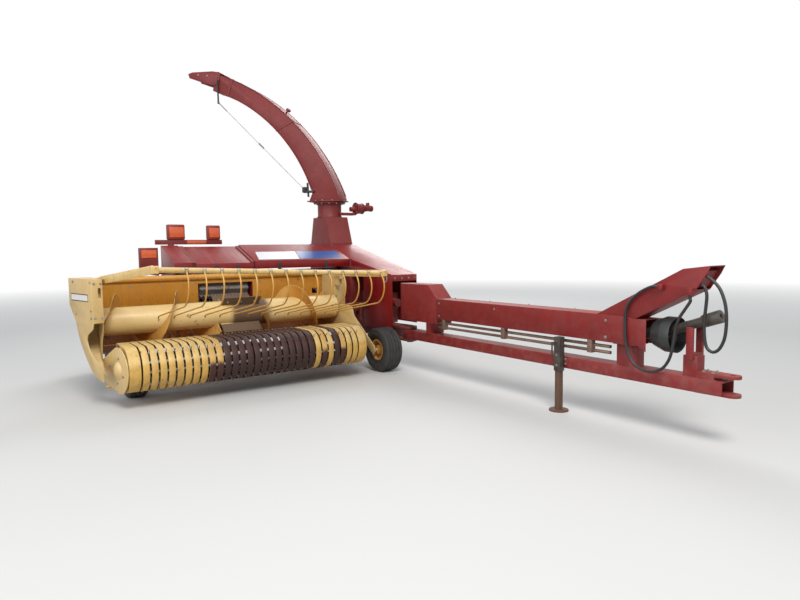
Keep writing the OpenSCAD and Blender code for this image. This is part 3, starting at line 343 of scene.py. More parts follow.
def dressed(node, material, edge=0.0016):
    """The node's own shape with softened edges and its real finish."""
    mesh = rest_mesh(node)
    if edge:
        soften(mesh, hard_edges(mesh, math.radians(crease_angle)), edge)
    made = finished(node + "_finished", mesh, material, node_body(node))
    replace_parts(made, node)


frame_red = painted("frame_red", (0.15, 0.005, 0.004), (0.21, 0.034, 0.028), chips=0.7)
for node in ("main_frame", "axle", "cutterhead_housing", "feed_housing", "blower_housing", "gearbox",
             "light_bar"):
    dressed(node, frame_red, 0.0025 if node in ("main_frame", "axle") else 0.0016)


# Lays a cone, whose own axis is Z, along the machine's width
along_y = Matrix.Rotation(math.pi / 2, 4, "X")
# Washer, hex head and thread end: sides, lower and upper radius, height and middle, all in sizes
# of the bolt, and how far each is sunk in the surface
bolt_parts = (
    (14, 1.05, 1.0, 0.22, 0.11, 0.004),
    (6, 0.62, 0.58, 0.55, 0.45, 0.004),
    (10, 0.30, 0.26, 0.3, 0.82, 0.0),
)


def cone(mesh, place, sides, low, high, height):
    """A capped cone round the place's Z axis, with its middle at the place."""
    bmesh.ops.create_cone(mesh, cap_ends=True, segments=sides, radius1=low, radius2=high, depth=height,
                          matrix=place)


def block(mesh, place, size):
    return bmesh.ops.create_cube(mesh, size=1, matrix=place @ Matrix.Diagonal((*size, 1)))


def bolts(name, places, axis, size, body):
    """Hex heads on washers in one mesh. A place is a head's seat, and axis points out of the surface."""
    mesh = bmesh.new()
    turn = Vector(axis).normalized().to_track_quat("Z", "Y").to_matrix().to_4x4()
    for k, place in enumerate(places):
        spot = Matrix.Translation(place) @ turn @ Matrix.Rotation(k * 0.7, 4, "Z")
        for sides, low, high, height, middle, sink in bolt_parts:
            seat = spot @ Matrix.Translation((0, 0, size * middle - sink / 2))
            cone(mesh, seat, sides, size * low, size * high, size * height + sink)
    finished(name, mesh, bolt_steel, body)


def steel_finish(name, light, dark, rust_amount, rough=0.42, metallic=0.75):
    """Plated or ground steel that has dulled, with brown rust in patches."""
    f = Finish(name)
    mottle = f.noise(11, 6, 0.65)
    base = f.mix(mottle, dark, light)
    rust = f.noise(24, 6, 0.7).rise(0.72 - 0.3 * rust_amount, 0.86 - 0.2 * rust_amount)
    base = f.mix(rust * 0.85, base, (0.13, 0.055, 0.03))
    f.bump(f.noise(190, 3), 0.14, 0.0005)
    f.bump(rust, 0.25, 0.0006)
    return f.done(base, rough + mottle * 0.2 + rust * 0.3, (1 - rust * 0.9) * metallic)


bolt_steel = steel_finish("bolt_steel", (0.42, 0.40, 0.36), (0.20, 0.18, 0.16), 0.75)
tube_spots = rows(-2.2395, (-0.42, -0.34, 0.98, 1.30, 1.88), (0.585, 0.625))
bolts("frame_tube_bolts", tube_spots, (-1, 0, 0), 0.016, "base")
bolts("axle_seat_bolts", rows((-1.68, -1.62), (-0.475, 1.055), 0.4565), (0, 0, 1), 0.014, "base")


# Hood panels and side shield
# Folded sheet over the cutterhead and the drives, hinged at the back and latched at the front lip.
# The tops are paler and pinkish, partly from sun fading and partly from painted light from above, and plain
# white and blue bands lie on the left one.
def hood_paint():
    f = Finish("hood_red")
    cloud = f.noise(1.1, 5, 0.6)
    mottle = f.noise(8, 6, 0.62)
    up = f.upward().rise(0.2, 0.85)
    base = f.mix(mottle.rise(0.35, 0.75) * 0.4, (0.19, 0.004, 0.004), (0.11, 0.003, 0.003))
    # Upward faces go paler and pinker, with pale runs on them: partly sun fading, partly painted light from
    # above.
    base = f.mix(up * (cloud * 0.45 + 0.5), base, (0.225, 0.020, 0.020))
    runs = f.noise(1.0, 5, 0.6, f.stretched(2.2, 30, 2.2)).rise(0.5, 0.72)
    base = f.mix(up * runs * 0.20, base, (0.42, 0.17, 0.16))
    side_runs = f.noise(1.0, 4, 0.6, f.stretched(24, 24, 1.6)).rise(0.52, 0.78)
    base = f.mix((1 - up) * side_runs * 0.25, base, (0.33, 0.05, 0.045))
    worn = f.noise(42, 4, 0.7).rise(0.67, 0.72) * f.noise(2.7, 3).rise(0.52, 0.66)
    base = f.mix(worn * 0.7, base, (0.12, 0.05, 0.035))
    f.bump(f.noise(240, 2), 0.05, 0.0004)
    f.bump(f.noise(2.2, 2), 0.12, 0.012)
    return f.done(base, 0.26 + mottle * 0.14 + up * 0.14 + worn * 0.3)


hood_red = hood_paint()
for node in ("hood_left", "hood_centre", "hood_right", "side_shield"):
    dressed(node, hood_red, 0.002)


def sheet_patch(name, corners, thickness, material, body):
    """A thin plate or decal, its back on the corners, which run anticlockwise seen from outside."""
    mesh = bmesh.new()
    face = mesh.faces.new([mesh.verts.new(c) for c in corners])
    mesh.normal_update()
    out = face.normal * thickness
    grown = bmesh.ops.extrude_face_region(mesh, geom=[face])
    bmesh.ops.translate(mesh, vec=out, verts=[v for v in grown["geom"] if isinstance(v, bmesh.types.BMVert)])
    bmesh.ops.recalc_face_normals(mesh, faces=mesh.faces)
    finished(name, mesh, material, body)


def plain_film(name, colour, worn_to, rough=0.35):
    f = Finish(name)
    scuffed = f.noise(30, 6, 0.7).rise(0.60, 0.72)
    cloud = f.noise(5, 4)
    base = f.mix(scuffed * 0.6, f.mix(cloud * 0.3, colour, tuple(0.75 * c for c in colour)), worn_to)
    f.bump(scuffed, -0.15, 0.0003)
    return f.done(base, rough + scuffed * 0.3)


film_white = plain_film("film_white", (0.62, 0.64, 0.68), (0.42, 0.18, 0.17))
film_blue = plain_film("film_blue", (0.035, 0.11, 0.34), (0.36, 0.16, 0.15))
# The hood's slope: how far back and how high its lip and its hinge line lie
lip_back, lip_high = 0.985, 1.165
hinge_back, hinge_high = 1.470, 1.343
hood_rise = (hinge_high - lip_high) / (hinge_back - lip_back)


def hood_sheet(name, front, rear, y0, y1, thickness, material, lift, lean=0.0):
    """A patch that follows the hood's slope, its rear edge moved aside by lean."""
    outline = ((front, y0), (front, y1), (rear, y1 + lean), (rear, y0 + lean))
    corners = [at(x, y, lip_high + hood_rise * (-x - lip_back) + lift) for x, y in outline]
    sheet_patch(name, corners, thickness, material, "base")


band_lift, band_lean, band_film = 0.0006, 0.05, 0.0004
for name, y0, y1, film in (("hood_band_white", 0.50, 0.98, film_white),
                           ("hood_band_blue", 0.99, 1.52, film_blue)):
    hood_sheet(name, -1.015, -1.240, y0, y1, band_film, film, band_lift, band_lean)

# Gutters under the gaps between the hoods, each with a lip that closes the gap in front
gutter_drop, gutter_sheet = 0.012, 0.003
for name, y0, y1 in (("hood_gutter_right", -0.235, -0.175), ("hood_gutter_left", 0.405, 0.465)):
    hood_sheet(name, -0.992, -1.462, y0, y1, gutter_sheet, frame_red, -gutter_drop)
    lip = [at(-1.004, y, z) for y, z in ((y0, 1.04), (y1, 1.04), (y1, 1.160), (y0, 1.160))]
    sheet_patch(name + "_lip", lip, gutter_sheet, frame_red, "base")

latch_black = painted("latch_black", (0.018, 0.018, 0.019), (0.05, 0.048, 0.046), chips=0.6,
                      bare=(0.16, 0.13, 0.11))


def lip_latch(mesh, place):
    """A bent strap latch under a hood's lip, with its pull loop."""
    for shift, size in (((0.004, 0, 0), (0.008, 0.034, 0.090)), ((0.016, 0, -0.030), (0.026, 0.022, 0.012))):
        block(mesh, Matrix.Translation(place + Vector(shift)), size)
    cone(mesh, Matrix.Translation(place + Vector((0.028, 0, -0.030))) @ along_y, 16, 0.008, 0.008, 0.044)


mesh = bmesh.new()
for y in (-0.31, 0.02, 0.26, 0.72, 1.30):
    lip_latch(mesh, at(-0.985, y, 1.098 if y > 0.43 else 1.085))
soften(mesh, [e for e in mesh.edges if e.calc_length() > 0.02], 0.0015)
finished("hood_latches", mesh, latch_black, "base")
shield_spots = ((-1.40, 1.20), (-1.40, 0.85), (-1.40, 0.52), (-0.80, 1.12), (-0.80, 0.52), (-0.20, 0.93),
                (-0.20, 0.52))
bolts("side_shield_bolts", [at(x, 1.950, z) for x, z in shield_spots], (0, 1, 0), 0.013, "base")
bolts("front_plate_bolts", rows(-0.125, (1.66, 1.75, 1.84, 1.92), 0.958), (1, 0, 0), 0.011, "base")


# Lamps and marker plate
# Two warning lamps with ribbed amber lenses stand on the light bar, and a marker box with a
# plain reflector stands beside the hood.
def lens_amber():
    f = Finish("lens_amber")
    ribs = (f.y * 420).wave()
    cloud = f.noise(6, 4)
    base = f.mix(cloud * 0.5, (0.62, 0.10, 0.012), (0.40, 0.045, 0.01))
    base = f.mix(f.upward().rise(0.4, 1.0) * 0.4, base, (0.42, 0.24, 0.15))
    f.bump(ribs, 0.35, 0.0012)
    return f.done(base, 0.18 + cloud * 0.12, 0.0, Coat_Weight=0.6)


dressed("lamps", painted("lamp_housing", (0.22, 0.016, 0.012), (0.34, 0.07, 0.05)), 0.012)
amber = lens_amber()


def rounded_block(mesh, low, high, radius):
    made = block(mesh, Matrix.Translation((low + high) / 2), high - low)
    soften(mesh, list({e for v in made["verts"] for e in v.link_edges}), radius, 3)


lens_margin = 0.015
mesh = bmesh.new()
for y0, y1, top in ((-0.300, -0.120, 1.565), (0.130, 0.270, 1.560)):
    for x0, x1 in ((-1.5415, -1.532), (-1.628, -1.6185)):
        low, high = at(x0, y0 + lens_margin, 1.425), at(x1, y1 - lens_margin, top - 2 * lens_margin)
        rounded_block(mesh, low, high, 0.004)
rounded_block(mesh, at(-1.5555, -0.10, 1.357), at(-1.5505, 0.11, 1.393), 0.002)
rounded_block(mesh, at(-1.0005, -0.70, 1.215), at(-0.996, -0.56, 1.290), 0.002)
finished("amber_lenses", mesh, amber, "base")

plate_white = plain_film("plate_white", (0.62, 0.60, 0.55), (0.35, 0.30, 0.24), 0.45)
plate_black = plain_film("plate_black", (0.02, 0.02, 0.02), (0.10, 0.09, 0.08), 0.4)


# Blower's transition, turning collar and its motor
# The four-sided duct narrows up to a welded collar. The turning ring is bolted on it, and a
# small hydraulic motor drives it through a reduction gearbox on the left.
dressed("turret_collar", frame_red, 0.0016)
turret = at(-1.740, 1.775, 0)


def ring_places(centre, radius, height, count, start=0.0):
    turns = [start + 2 * math.pi * k / count for k in range(count)]
    return [Vector((centre.x + radius * math.cos(t), centre.y + radius * math.sin(t), height)) for t in turns]


bolts("collar_ring_bolts", ring_places(turret, 0.186, 1.8595, 12), (0, 0, -1), 0.012, "base")
motor = at(-1.600, 2.075, 1.800)
# Rings on the gearbox and the motor: distance along it, height, radius and thickness
motor_rings = ((0.004, 0, 0.078, 0.012), (0.100, 0, 0.070, 0.010), (0.150, 0.006, 0.043, 0.010),
               (0.235, 0.006, 0.041, 0.012))
mesh = bmesh.new()
for y, z, radius, thickness in motor_rings:
    cone(mesh, Matrix.Translation(motor + Vector((0, y, z))) @ along_y, 40, radius, radius, thickness)
for x in (-0.022, 0.022):
    cone(mesh, Matrix.Translation(motor + Vector((x, 0.19, 0.055))), 20, 0.013, 0.011, 0.05)
finished("motor_flanges", mesh, frame_red, "base")
motor_spots = [motor + Vector((0.060 * math.cos(t), 0.0, 0.060 * math.sin(t)))
               for t in (0.8, 2.36, 3.93, 5.5)]
bolts("motor_bolts", motor_spots, (0, -1, 0), 0.010, "base")


# Spout
# A curved duct of folded sheet. Flanged edges stiffen it, straps go round it where the sheets
# meet, and a thin rod runs from the foot to a hanging arm that works the deflector.
spout_red = painted("spout_red", (0.17, 0.010, 0.008), (0.25, 0.052, 0.042), dust_top=0.3, chips=0.6)
dressed("spout", spout_red, 0.0016)
spout_turn = math.radians(220)
spout_half = 0.129
spout_side = Vector((-math.sin(spout_turn), math.cos(spout_turn), 0))
# Each wall bends round a centre, given by its distance from the turning axis and its height
outer_wall = (2.352, 1.015), 2.7
inner_wall = (2.191, 1.345), 2.12


def on_spout(u, y, z):
    """u is the distance from the turning axis along the spout, y the distance to its side."""
    c, s = math.cos(spout_turn), math.sin(spout_turn)
    return at(-1.740 + c * u - s * y, 1.775 + s * u + c * y, z)


def spout_point(outer, heading, y, proud=0.0):
    (u, z), radius = outer_wall if outer else inner_wall
    reach = radius + (proud if outer else -proud)
    h = math.radians(heading)
    return on_spout(u - reach * math.sin(h), y, z + reach * math.cos(h))


def spout_flange(mesh, outer, y0, y1, start, end=22.5, low=-0.001, high=0.004):
    """An edge strip, turned round the wall's own centre."""
    (u, z), _ = outer_wall if outer else inner_wall
    corners = [(y0, low), (y1, low), (y1, high), (y0, high)]
    face = mesh.faces.new([mesh.verts.new(spout_point(outer, start, y, proud)) for y, proud in corners])
    bmesh.ops.spin(mesh, geom=[face], cent=on_spout(u, 0, z), axis=spout_side, steps=30,
                   angle=math.radians(start - end), use_merge=False, use_duplicate=False)


mesh = bmesh.new()
for side in (-1, 1):
    y0, y1 = sorted((side * (spout_half - 0.014), side * (spout_half + 0.012)))
    spout_flange(mesh, True, y0, y1, 69.5)
    spout_flange(mesh, False, y0, y1, 71.0)
bmesh.ops.remove_doubles(mesh, verts=mesh.verts, dist=0.00005)
bmesh.ops.recalc_face_normals(mesh, faces=mesh.faces)
finished("spout_flanges", mesh, spout_red, "spout")


strap_width, strap_thick = 0.035, 0.006


def spout_bar(mesh, middle, up, size):
    """A flat bar: its width runs along the spout, and its height along up."""
    turn = Matrix((up.cross(spout_side).normalized(), spout_side, up)).transposed().to_4x4()
    block(mesh, Matrix.Translation(middle) @ turn, size)


def spout_strap(mesh, heading_out, heading_in):
    """A strap round the duct: four flat bars."""
    edge, side_middle = spout_half + strap_thick, spout_half + strap_thick / 2
    for outer, heading in ((True, heading_out), (False, heading_in)):
        a, b = spout_point(outer, heading, -edge, 0), spout_point(outer, heading, edge, 0)
        up = (spout_point(outer, heading, 0, 1) - spout_point(outer, heading, 0, 0)).normalized()
        middle = (a + b) / 2 + up * (strap_thick / 2)
        spout_bar(mesh, middle, up, (strap_width, (b - a).length, strap_thick + 0.001))
    for side in (-1, 1):
        a = spout_point(True, heading_out, side * side_middle, strap_thick)
        b = spout_point(False, heading_in, side * side_middle, strap_thick)
        spout_bar(mesh, (a + b) / 2, (a - b).normalized(), (strap_width, strap_thick, (a - b).length))


upper_strap, lower_strap = 24.0, 45.6
mesh = bmesh.new()
spout_strap(mesh, lower_strap, 46.5)
spout_strap(mesh, upper_strap, upper_strap)
soften(mesh, list(mesh.edges), 0.0012)
finished("spout_straps", mesh, spout_red, "spout")

strap_bolts = [spout_point(True, h, y, strap_thick) for h in (lower_strap, upper_strap)
               for y in (-0.10, 0.10)]
bolts("strap_bolts", strap_bolts, spout_point(True, 40, 0, 1) - spout_point(True, 40, 0, 0), 0.011, "spout")
bolts("spout_foot_bolts", ring_places(turret, 0.195, 1.892, 10, 0.3), (0, 0, 1), 0.013, "spout")


def bar_between(mesh, a, b, radius, sides=14):
    turn = (b - a).to_track_quat("Z", "Y").to_matrix().to_4x4()
    cone(mesh, Matrix.Translation((a + b) / 2) @ turn, sides, radius, radius, (b - a).length)


# Deflector linkage
# A flat arm hangs under the spout's end, a 7 mm rod with a turnbuckle comes up to it from a
# bracket at the foot, and a round knob marks the catch on the outer wall.
mesh = bmesh.new()
arm_y, rod_y = spout_half + 0.012, spout_half + 0.014
arm_top, arm_foot = on_spout(1.455, arm_y, 3.385), on_spout(1.452, arm_y, 3.200)
low_end = on_spout(0.268, rod_y, 2.030)
for offset in (0.0, 0.010):
    top, foot = arm_top + spout_side * offset, arm_foot + spout_side * offset
    bar_between(mesh, top + Vector((0, 0, 0.10)), foot - Vector((0, 0, 0.015)), 0.009, 6)
finished("deflector_arm", mesh, latch_black, "spout")
mesh = bmesh.new()
bar_between(mesh, arm_foot, low_end, 0.0035)
middle = (arm_foot + low_end) / 2
along = (arm_foot - low_end).normalized()
bar_between(mesh, middle - along * 0.045, middle + along * 0.045, 0.011, 6)
bar_between(mesh, arm_foot - along * 0.16, arm_foot - along * 0.02, 0.007)
for end in (arm_foot, low_end):
    bar_between(mesh, end - spout_side * 0.014, end + spout_side * 0.014, 0.012)
finished("deflector_rod", mesh, bolt_steel, "spout")
mesh = bmesh.new()
bar_between(mesh, on_spout(0.150, rod_y, 2.010), on_spout(0.285, rod_y, 2.010), 0.016, 6)
bar_between(mesh, on_spout(0.225, rod_y, 1.945), on_spout(0.235, rod_y, 2.120), 0.014, 6)
rounded_block(mesh, low_end - Vector((0.03, 0.03, 0.03)), low_end + Vector((0.022, 0.022, 0.04)), 0.006)
finished("foot_bracket", mesh, latch_black, "spout")
mesh = bmesh.new()
catch = spout_point(True, 42.0, 0.05, 0.0)
catch_up = (spout_point(True, 42.0, 0.05, 1.0) - catch).normalized()
knob = catch + catch_up * 0.05
bar_between(mesh, catch - catch_up * 0.01, catch + catch_up * 0.055, 0.010)
bar_between(mesh, knob - spout_side * 0.03, knob + spout_side * 0.03, 0.021)
finished("spout_catch", mesh, frame_red, "spout")

# Deflector
# A hood of thinner sheet over the spout's end, hinged on two pins at the outer wall.
dressed("deflector", spout_red, 0.0012)
end_u, end_z = 1.4863, 3.5723
end_spots = ((-0.03, -0.045), (0.12, -0.02), (0.25, 0.005))
for name, side in (("deflector_bolts", 1), ("deflector_bolts_right", -1)):
    spots = [on_spout(end_u + u, side * 0.1390, end_z + z) for u, z in end_spots]
    bolts(name, spots, side * spout_side, 0.012, "deflector")


# Wheels and tyres
# Implement tyres with worn ribs on pressed steel rims. The main pair carries the machine behind
# the header and the small pair gauges the pickup's height.
def tyre_rubber():
    f = Finish("tyre_rubber")
    mottle = f.noise(14, 6, 0.65)
    low = 1 - f.z.rise(0.02, 0.5)
    dust = (mottle.rise(0.3, 0.75) * 0.55 + low * 0.2)
    base = f.mix(dust * 0.7, (0.010, 0.010, 0.011), (0.075, 0.068, 0.060))
    f.bump(f.noise(330, 3), 0.2, 0.0006)
    f.bump(mottle, 0.15, 0.002)
    return f.done(base, 0.62 + mottle * 0.2)


rubber = tyre_rubber()


# Turning steps of a tyre, side lugs on each shoulder, and the depth of a groove to a tyre's width
tyre_steps, lug_count, groove_share = 96, 44, 0.028


def turned(mesh, profile, centre):
    """A closed profile of (radius, side) turned round a wheel's axis."""
    verts = [mesh.verts.new(centre + Vector((0, y, r))) for r, y in profile]
    edges = [mesh.edges.new((a, b)) for a, b in zip(verts, verts[1:] + verts[:1])]
    bmesh.ops.spin(mesh, geom=verts + edges, cent=centre, axis=(0, 1, 0), angle=2 * math.pi, steps=tyre_steps,
                   use_merge=True, use_duplicate=False)
    bmesh.ops.remove_doubles(mesh, verts=mesh.verts, dist=0.00001)
    bmesh.ops.recalc_face_normals(mesh, faces=mesh.faces)


def ribbed_profile(radius, width, rim_radius, ribs, groove):
    """Bead, sidewall, shoulder, and a crown of ribs."""
    half, bead = width / 2, width * 0.36
    shoulder = width * 0.2
    crown = width - 2 * shoulder
    wall = (radius + rim_radius) / 2
    side = [(rim_radius, -bead), (rim_radius + 0.009, -bead),
            (rim_radius + 0.02, -bead - 0.25 * (half - bead)), (wall - 0.012, -half + 0.002),
            (wall - 0.008, -half), (wall + 0.008, -half), (wall + 0.012, -half + 0.002)]
    side += [(radius - shoulder + shoulder * math.sin(t), -half + shoulder - shoulder * math.cos(t))
             for t in (0.45, 0.75, 1.05, 1.35)]
    top = []
    for k in range(ribs):
        y0 = -crown / 2 + crown * k / ribs
        y1 = -crown / 2 + crown * (k + 1) / ribs
        gap = 0.11 * (y1 - y0)
        rib = ((y0 + gap, groove), (y0 + 1.8 * gap, 0.0015), (y0 + 2.5 * gap, 0),
               (y1 - 2.5 * gap, 0), (y1 - 1.8 * gap, 0.0015), (y1 - gap, groove))
        top += [(radius - drop - 0.006 * (2 * y / crown) ** 2, y) for y, drop in rib]
    return side + top + [(r, -y) for r, y in reversed(side)]


def tyre(name, node, centre, radius, width, rim_radius, ribs, body):
    mesh = bmesh.new()
    turned(mesh, ribbed_profile(radius, width, rim_radius, ribs, width * groove_share), centre)
    for side in (-1, 1):
        for k in range(lug_count):
            angle = 2 * math.pi * (k + 0.25 * side) / lug_count
            lug = Matrix.Translation(centre) @ Matrix.Rotation(angle, 4, "Y")
            lug = lug @ Matrix.Translation((0, side * width * 0.425, radius - width * 0.098))
            lug = lug @ Matrix.Rotation(side * -0.95, 4, "X")
            block(mesh, lug, (radius * 0.062, width * 0.15, width * 0.05))
    made = finished(name, mesh, rubber, body, 40)
    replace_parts(made, node)


# Kind, side, centre, radius, width, rim radius, ribs, and the side on which the disc shows
wheels = (
    ("main", "left", at(-1.650, 1.300, 0.406), 0.406, 0.318, 0.1905, 5, 1),
    ("main", "right", at(-1.650, -0.760, 0.406), 0.406, 0.318, 0.1905, 5, -1),
    ("gauge", "left", at(-0.040, 1.440, 0.2285), 0.2285, 0.205, 0.1015, 3, -1),
    ("gauge", "right", at(-0.430, -0.930, 0.190), 0.190, 0.165, 0.076, 3, 1),
)
for kind, side, centre, radius, width, rim_radius, ribs, out in wheels:
    node = f"{kind}_tyre_{side}"
    tyre(node + "_ribbed", node, centre, radius, width, rim_radius, ribs, f"{kind}_wheel_{side}")


# Rims
# Pressed discs welded into the wells, with lug nuts, a cap over the bearing and a tyre valve.
# The yellow has worn through where tools and stones touched it.
def worn_yellow(name, colour, faded_and_lit, rust=0.4, deep=(0.12, 0.042, 0.016)):
    f = Finish(name)
    cloud = f.noise(2.2, 5, 0.6)
    mottle = f.noise(12, 6, 0.65)
    base = f.mix(mottle.rise(0.3, 0.75) * 0.45, colour, tuple(0.72 * c for c in colour))
    # Paler patches, more of them on upward faces: sun fading, with painted light from above on the tops.
    base = f.mix((cloud * 0.8 + f.upward().rise(-0.2, 0.9) * 0.4).rise(0.3, 0.9), base, faded_and_lit)
    runs = f.noise(1.0, 5, 0.65, f.stretched(30, 30, 2.2)).rise(0.5, 0.78)
    base = f.mix(runs * 0.5 * rust, base, deep)
    patches = f.noise(3.4, 4).rise(0.40, 0.62)
    spots = f.noise(26, 5, 0.7).rise(0.70 - 0.16 * rust, 0.78 - 0.14 * rust) * patches
    base = f.mix(spots * 0.9, base, deep)
    f.bump(f.noise(240, 2), 0.06, 0.0004)
    f.bump(mottle, 0.07, 0.003)
    f.bump(spots, -0.3, 0.0007)
    return f.done(base, 0.36 + mottle * 0.18 + spots * 0.3)


rim_yellow = worn_yellow("rim_yellow", (0.52, 0.24, 0.05), (0.62, 0.36, 0.13), 0.8)
for kind, side, centre, radius, width, rim_radius, ribs, out in wheels:
    body = f"{kind}_wheel_{side}"
    dressed(f"{kind}_rim_{side}", rim_yellow, 0.0012)
    disc = width * 0.36 * 0.35
    circle, size, count = (0.115, 0.015, 6) if kind == "main" else (rim_radius * 0.68, 0.009, 5)
    turns = [2 * math.pi * (k + 0.3) / count for k in range(count)]
    spots = [centre + Vector((circle * math.cos(t), out * (disc + 0.0052), circle * math.sin(t)))
             for t in turns]
    bolts(f"{kind}_lugs_{side}", spots, (0, out, 0), size, body)
    mesh = bmesh.new()
    valve = centre + Vector((rim_radius * 0.80, out * (disc + 0.004), rim_radius * 0.32))
    bar_between(mesh, valve, valve + Vector((0.004, out * 0.026, 0)), 0.0045)
    bar_between(mesh, valve, valve + Vector((0.001, out * 0.008, 0)), 0.0075)
    finished(f"{kind}_valve_{side}", mesh, rubber, body)


# Header's back, trough and end columns
# The sheet has weathered most on the outside, and crop has polished and rusted the trough; the back sheet and
# the trough also carry painted shade.
# A blank plate with a dark border lies on the right column's flared face.
column_yellow = worn_yellow("column_yellow", (0.52, 0.35, 0.13), (0.62, 0.46, 0.22), 0.45)
# The back sheet's and the trough's darker, deeper yellows are painted shade for where they lie inside the
# header.
back_sheet_shaded_yellow = worn_yellow("back_sheet_shaded_yellow", (0.47, 0.195, 0.016), (0.55, 0.28, 0.05),
                           0.75, (0.13, 0.04, 0.012))
trough_shaded_yellow = worn_yellow("trough_shaded_yellow", (0.34, 0.115, 0.014), (0.46, 0.19, 0.035),
                            1.3, (0.10, 0.034, 0.014))
for node, material in (("header_back", back_sheet_shaded_yellow), ("header_trough", trough_shaded_yellow),
                       ("end_column_right", column_yellow), ("end_column_left", column_yellow),
                       ("gauge_arms", column_yellow)):
    dressed(node, material, 0.0014)
flare_slope = 0.2079
flare_out = Vector((flare_slope, -1, 0)).normalized()


def on_flare(x, z):
    return at(x, -1.275 + (x + 0.160) * flare_slope, z)


def flare_plate(name, x0, x1, z0, z1, thickness, material):
    sheet_patch(name, [on_flare(x0, z0), on_flare(x1, z0), on_flare(x1, z1), on_flare(x0, z1)], thickness,
                material, "header")


flare_plate("column_plate_border", -0.615, -0.255, 0.869, 0.932, 0.0006, plate_black)
flare_plate("column_plate", -0.607, -0.263, 0.877, 0.924, 0.0010, plate_white)
flare_spots = ((-0.20, 0.74), (-0.52, 0.76), (-0.20, 1.03), (-0.56, 1.03), (-0.20, 0.80))
bolts("column_bolts", [on_flare(x, z) for x, z in flare_spots], flare_out, 0.011, "header")
bolts("column_front_bolts", rows(-0.160, (-1.262, -1.212), (0.74, 1.02)), (1, 0, 0), 0.010, "header")

# The pickup's end plate leans out by end_turn and has its front tip at end_tip. Its bolts are
# given by distance and angle from the reel's axis.
reel_height = 0.323
end_turn, end_slope = math.radians(10.4), 0.1835
end_tip, end_step = (0.190, -1.1425), 0.0345
end_out = Vector((math.sin(end_turn), -math.cos(end_turn), 0))
end_bolts = []
for reach, angle in ((0.105, 1.35), (0.105, -0.35), (0.105, -1.75), (0.160, 3.0)):
    x = reach * math.cos(angle)
    y = end_tip[1] - end_slope * (end_tip[0] - x) + end_step
    end_bolts.append(at(x, y, reel_height + reach * math.sin(angle)))
bolts("end_guard_bolts", end_bolts, end_out, 0.011, "header")
bolts("left_column_bolts", rows(-0.480, (1.135, 1.235), (0.60, 0.78, 0.97)), (1, 0, 0), 0.011, "header")
back_rows = (-1.10, -0.86, -0.58, -0.30, 0.40, 0.64, 0.88, 1.07)
bolts("back_sheet_bolts", rows(-0.771, back_rows, (0.70, 0.96)), (1, 0, 0), 0.010, "header")


# Auger
# Two flights of opposite hand carry the crop to the rusty paddles in the middle. The paddles
# stand on the tube, and bolts go through them.
auger_centre = at(-0.500, 0, 0.672)
# Squared distances from the axis between which the paddles' rust sets in
tube_skin, paddle_foot = 0.0165, 0.0172


def auger_finish():
    f = Finish("auger_yellow")
    mottle = f.noise(10, 6, 0.65)
    cloud = f.noise(2.0, 5, 0.6)
    base = f.mix(mottle * 0.5, (0.68, 0.49, 0.20), (0.54, 0.33, 0.09))
    base = f.mix(cloud.rise(0.35, 0.8) * 0.6, base, (0.76, 0.61, 0.34))
    right = (f.y + mottle * 0.06).rise(-0.53, -0.45)
    left = 1 - (f.y + mottle * 0.06).rise(-0.16, -0.06)
    core = right * left
    spots = f.noise(22, 5, 0.7).rise(0.58, 0.68) * cloud.rise(0.4, 0.6)
    across, above = f.x - auger_centre.x, f.z - 0.672
    paddles = (across * across + above * above).rise(tube_skin, paddle_foot)
    rust = f.node("ShaderNodeMath", {"operation": "MAXIMUM"}, core, spots * 0.8)
    rust = f.node("ShaderNodeMath", {"operation": "MAXIMUM"}, rust, paddles)
    base = f.mix(rust * 0.93, base, (0.075, 0.035, 0.022))
    f.bump(mottle, 0.09, 0.003)
    f.bump(rust, 0.2, 0.0008)
    return f.done(base, 0.34 + mottle * 0.15 + rust * 0.32)


auger_yellow = auger_finish()
dressed("auger_tube", auger_yellow, 0.001)
# The flights' deep, dark yellow is the header yellow with painted shade.
flight_shaded_yellow = worn_yellow("flight_shaded_yellow", (0.44, 0.17, 0.014), (0.58, 0.36, 0.10),
                            1.0, (0.11, 0.04, 0.016))


def flight(mesh, y0, turns, hand):
    """A flat strip with a rounded edge, wound round the tube."""
    inner, outer, thick, pitch, r = 0.1240, 0.2450, 0.005, 0.520, 0.002
    corners = [(inner, 0), (outer - r, 0), (outer, r), (outer, thick - r), (outer - r, thick), (inner, thick)]
    start = Vector((auger_centre.x, at(0, y0, 0).y, auger_centre.z))
    face = mesh.faces.new([mesh.verts.new(start + Vector((x, y, 0))) for x, y in corners])
    steps = int(turns * 60)
    bmesh.ops.spin(mesh, geom=[face], cent=start, axis=(0, 1, 0), dvec=(0, pitch * turns / steps, 0),
                   angle=-hand * turns * 2 * math.pi, steps=steps, use_merge=False, use_duplicate=False)


mesh = bmesh.new()
flight(mesh, -1.176, 1.9, 1)
flight(mesh, 0.240, 1.6, -1)
bmesh.ops.recalc_face_normals(mesh, faces=mesh.faces)
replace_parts(finished("auger_flights_rolled", mesh, flight_shaded_yellow, "auger", 40),
            "auger_flights")
for k in range(4):
    turn = Matrix.Rotation(math.radians(45 + 90 * k), 3, "Y")
    out = turn @ Vector((0, 0, 1))
    side = turn @ Vector((1, 0, 0))
    spots = [auger_centre + Vector((0, y, 0)) + out * 0.17 + side * 0.004 for y in (-0.09, 0.04, 0.17)]
    bolts(f"paddle_bolts_{k + 1}", spots, side, 0.011, "auger")


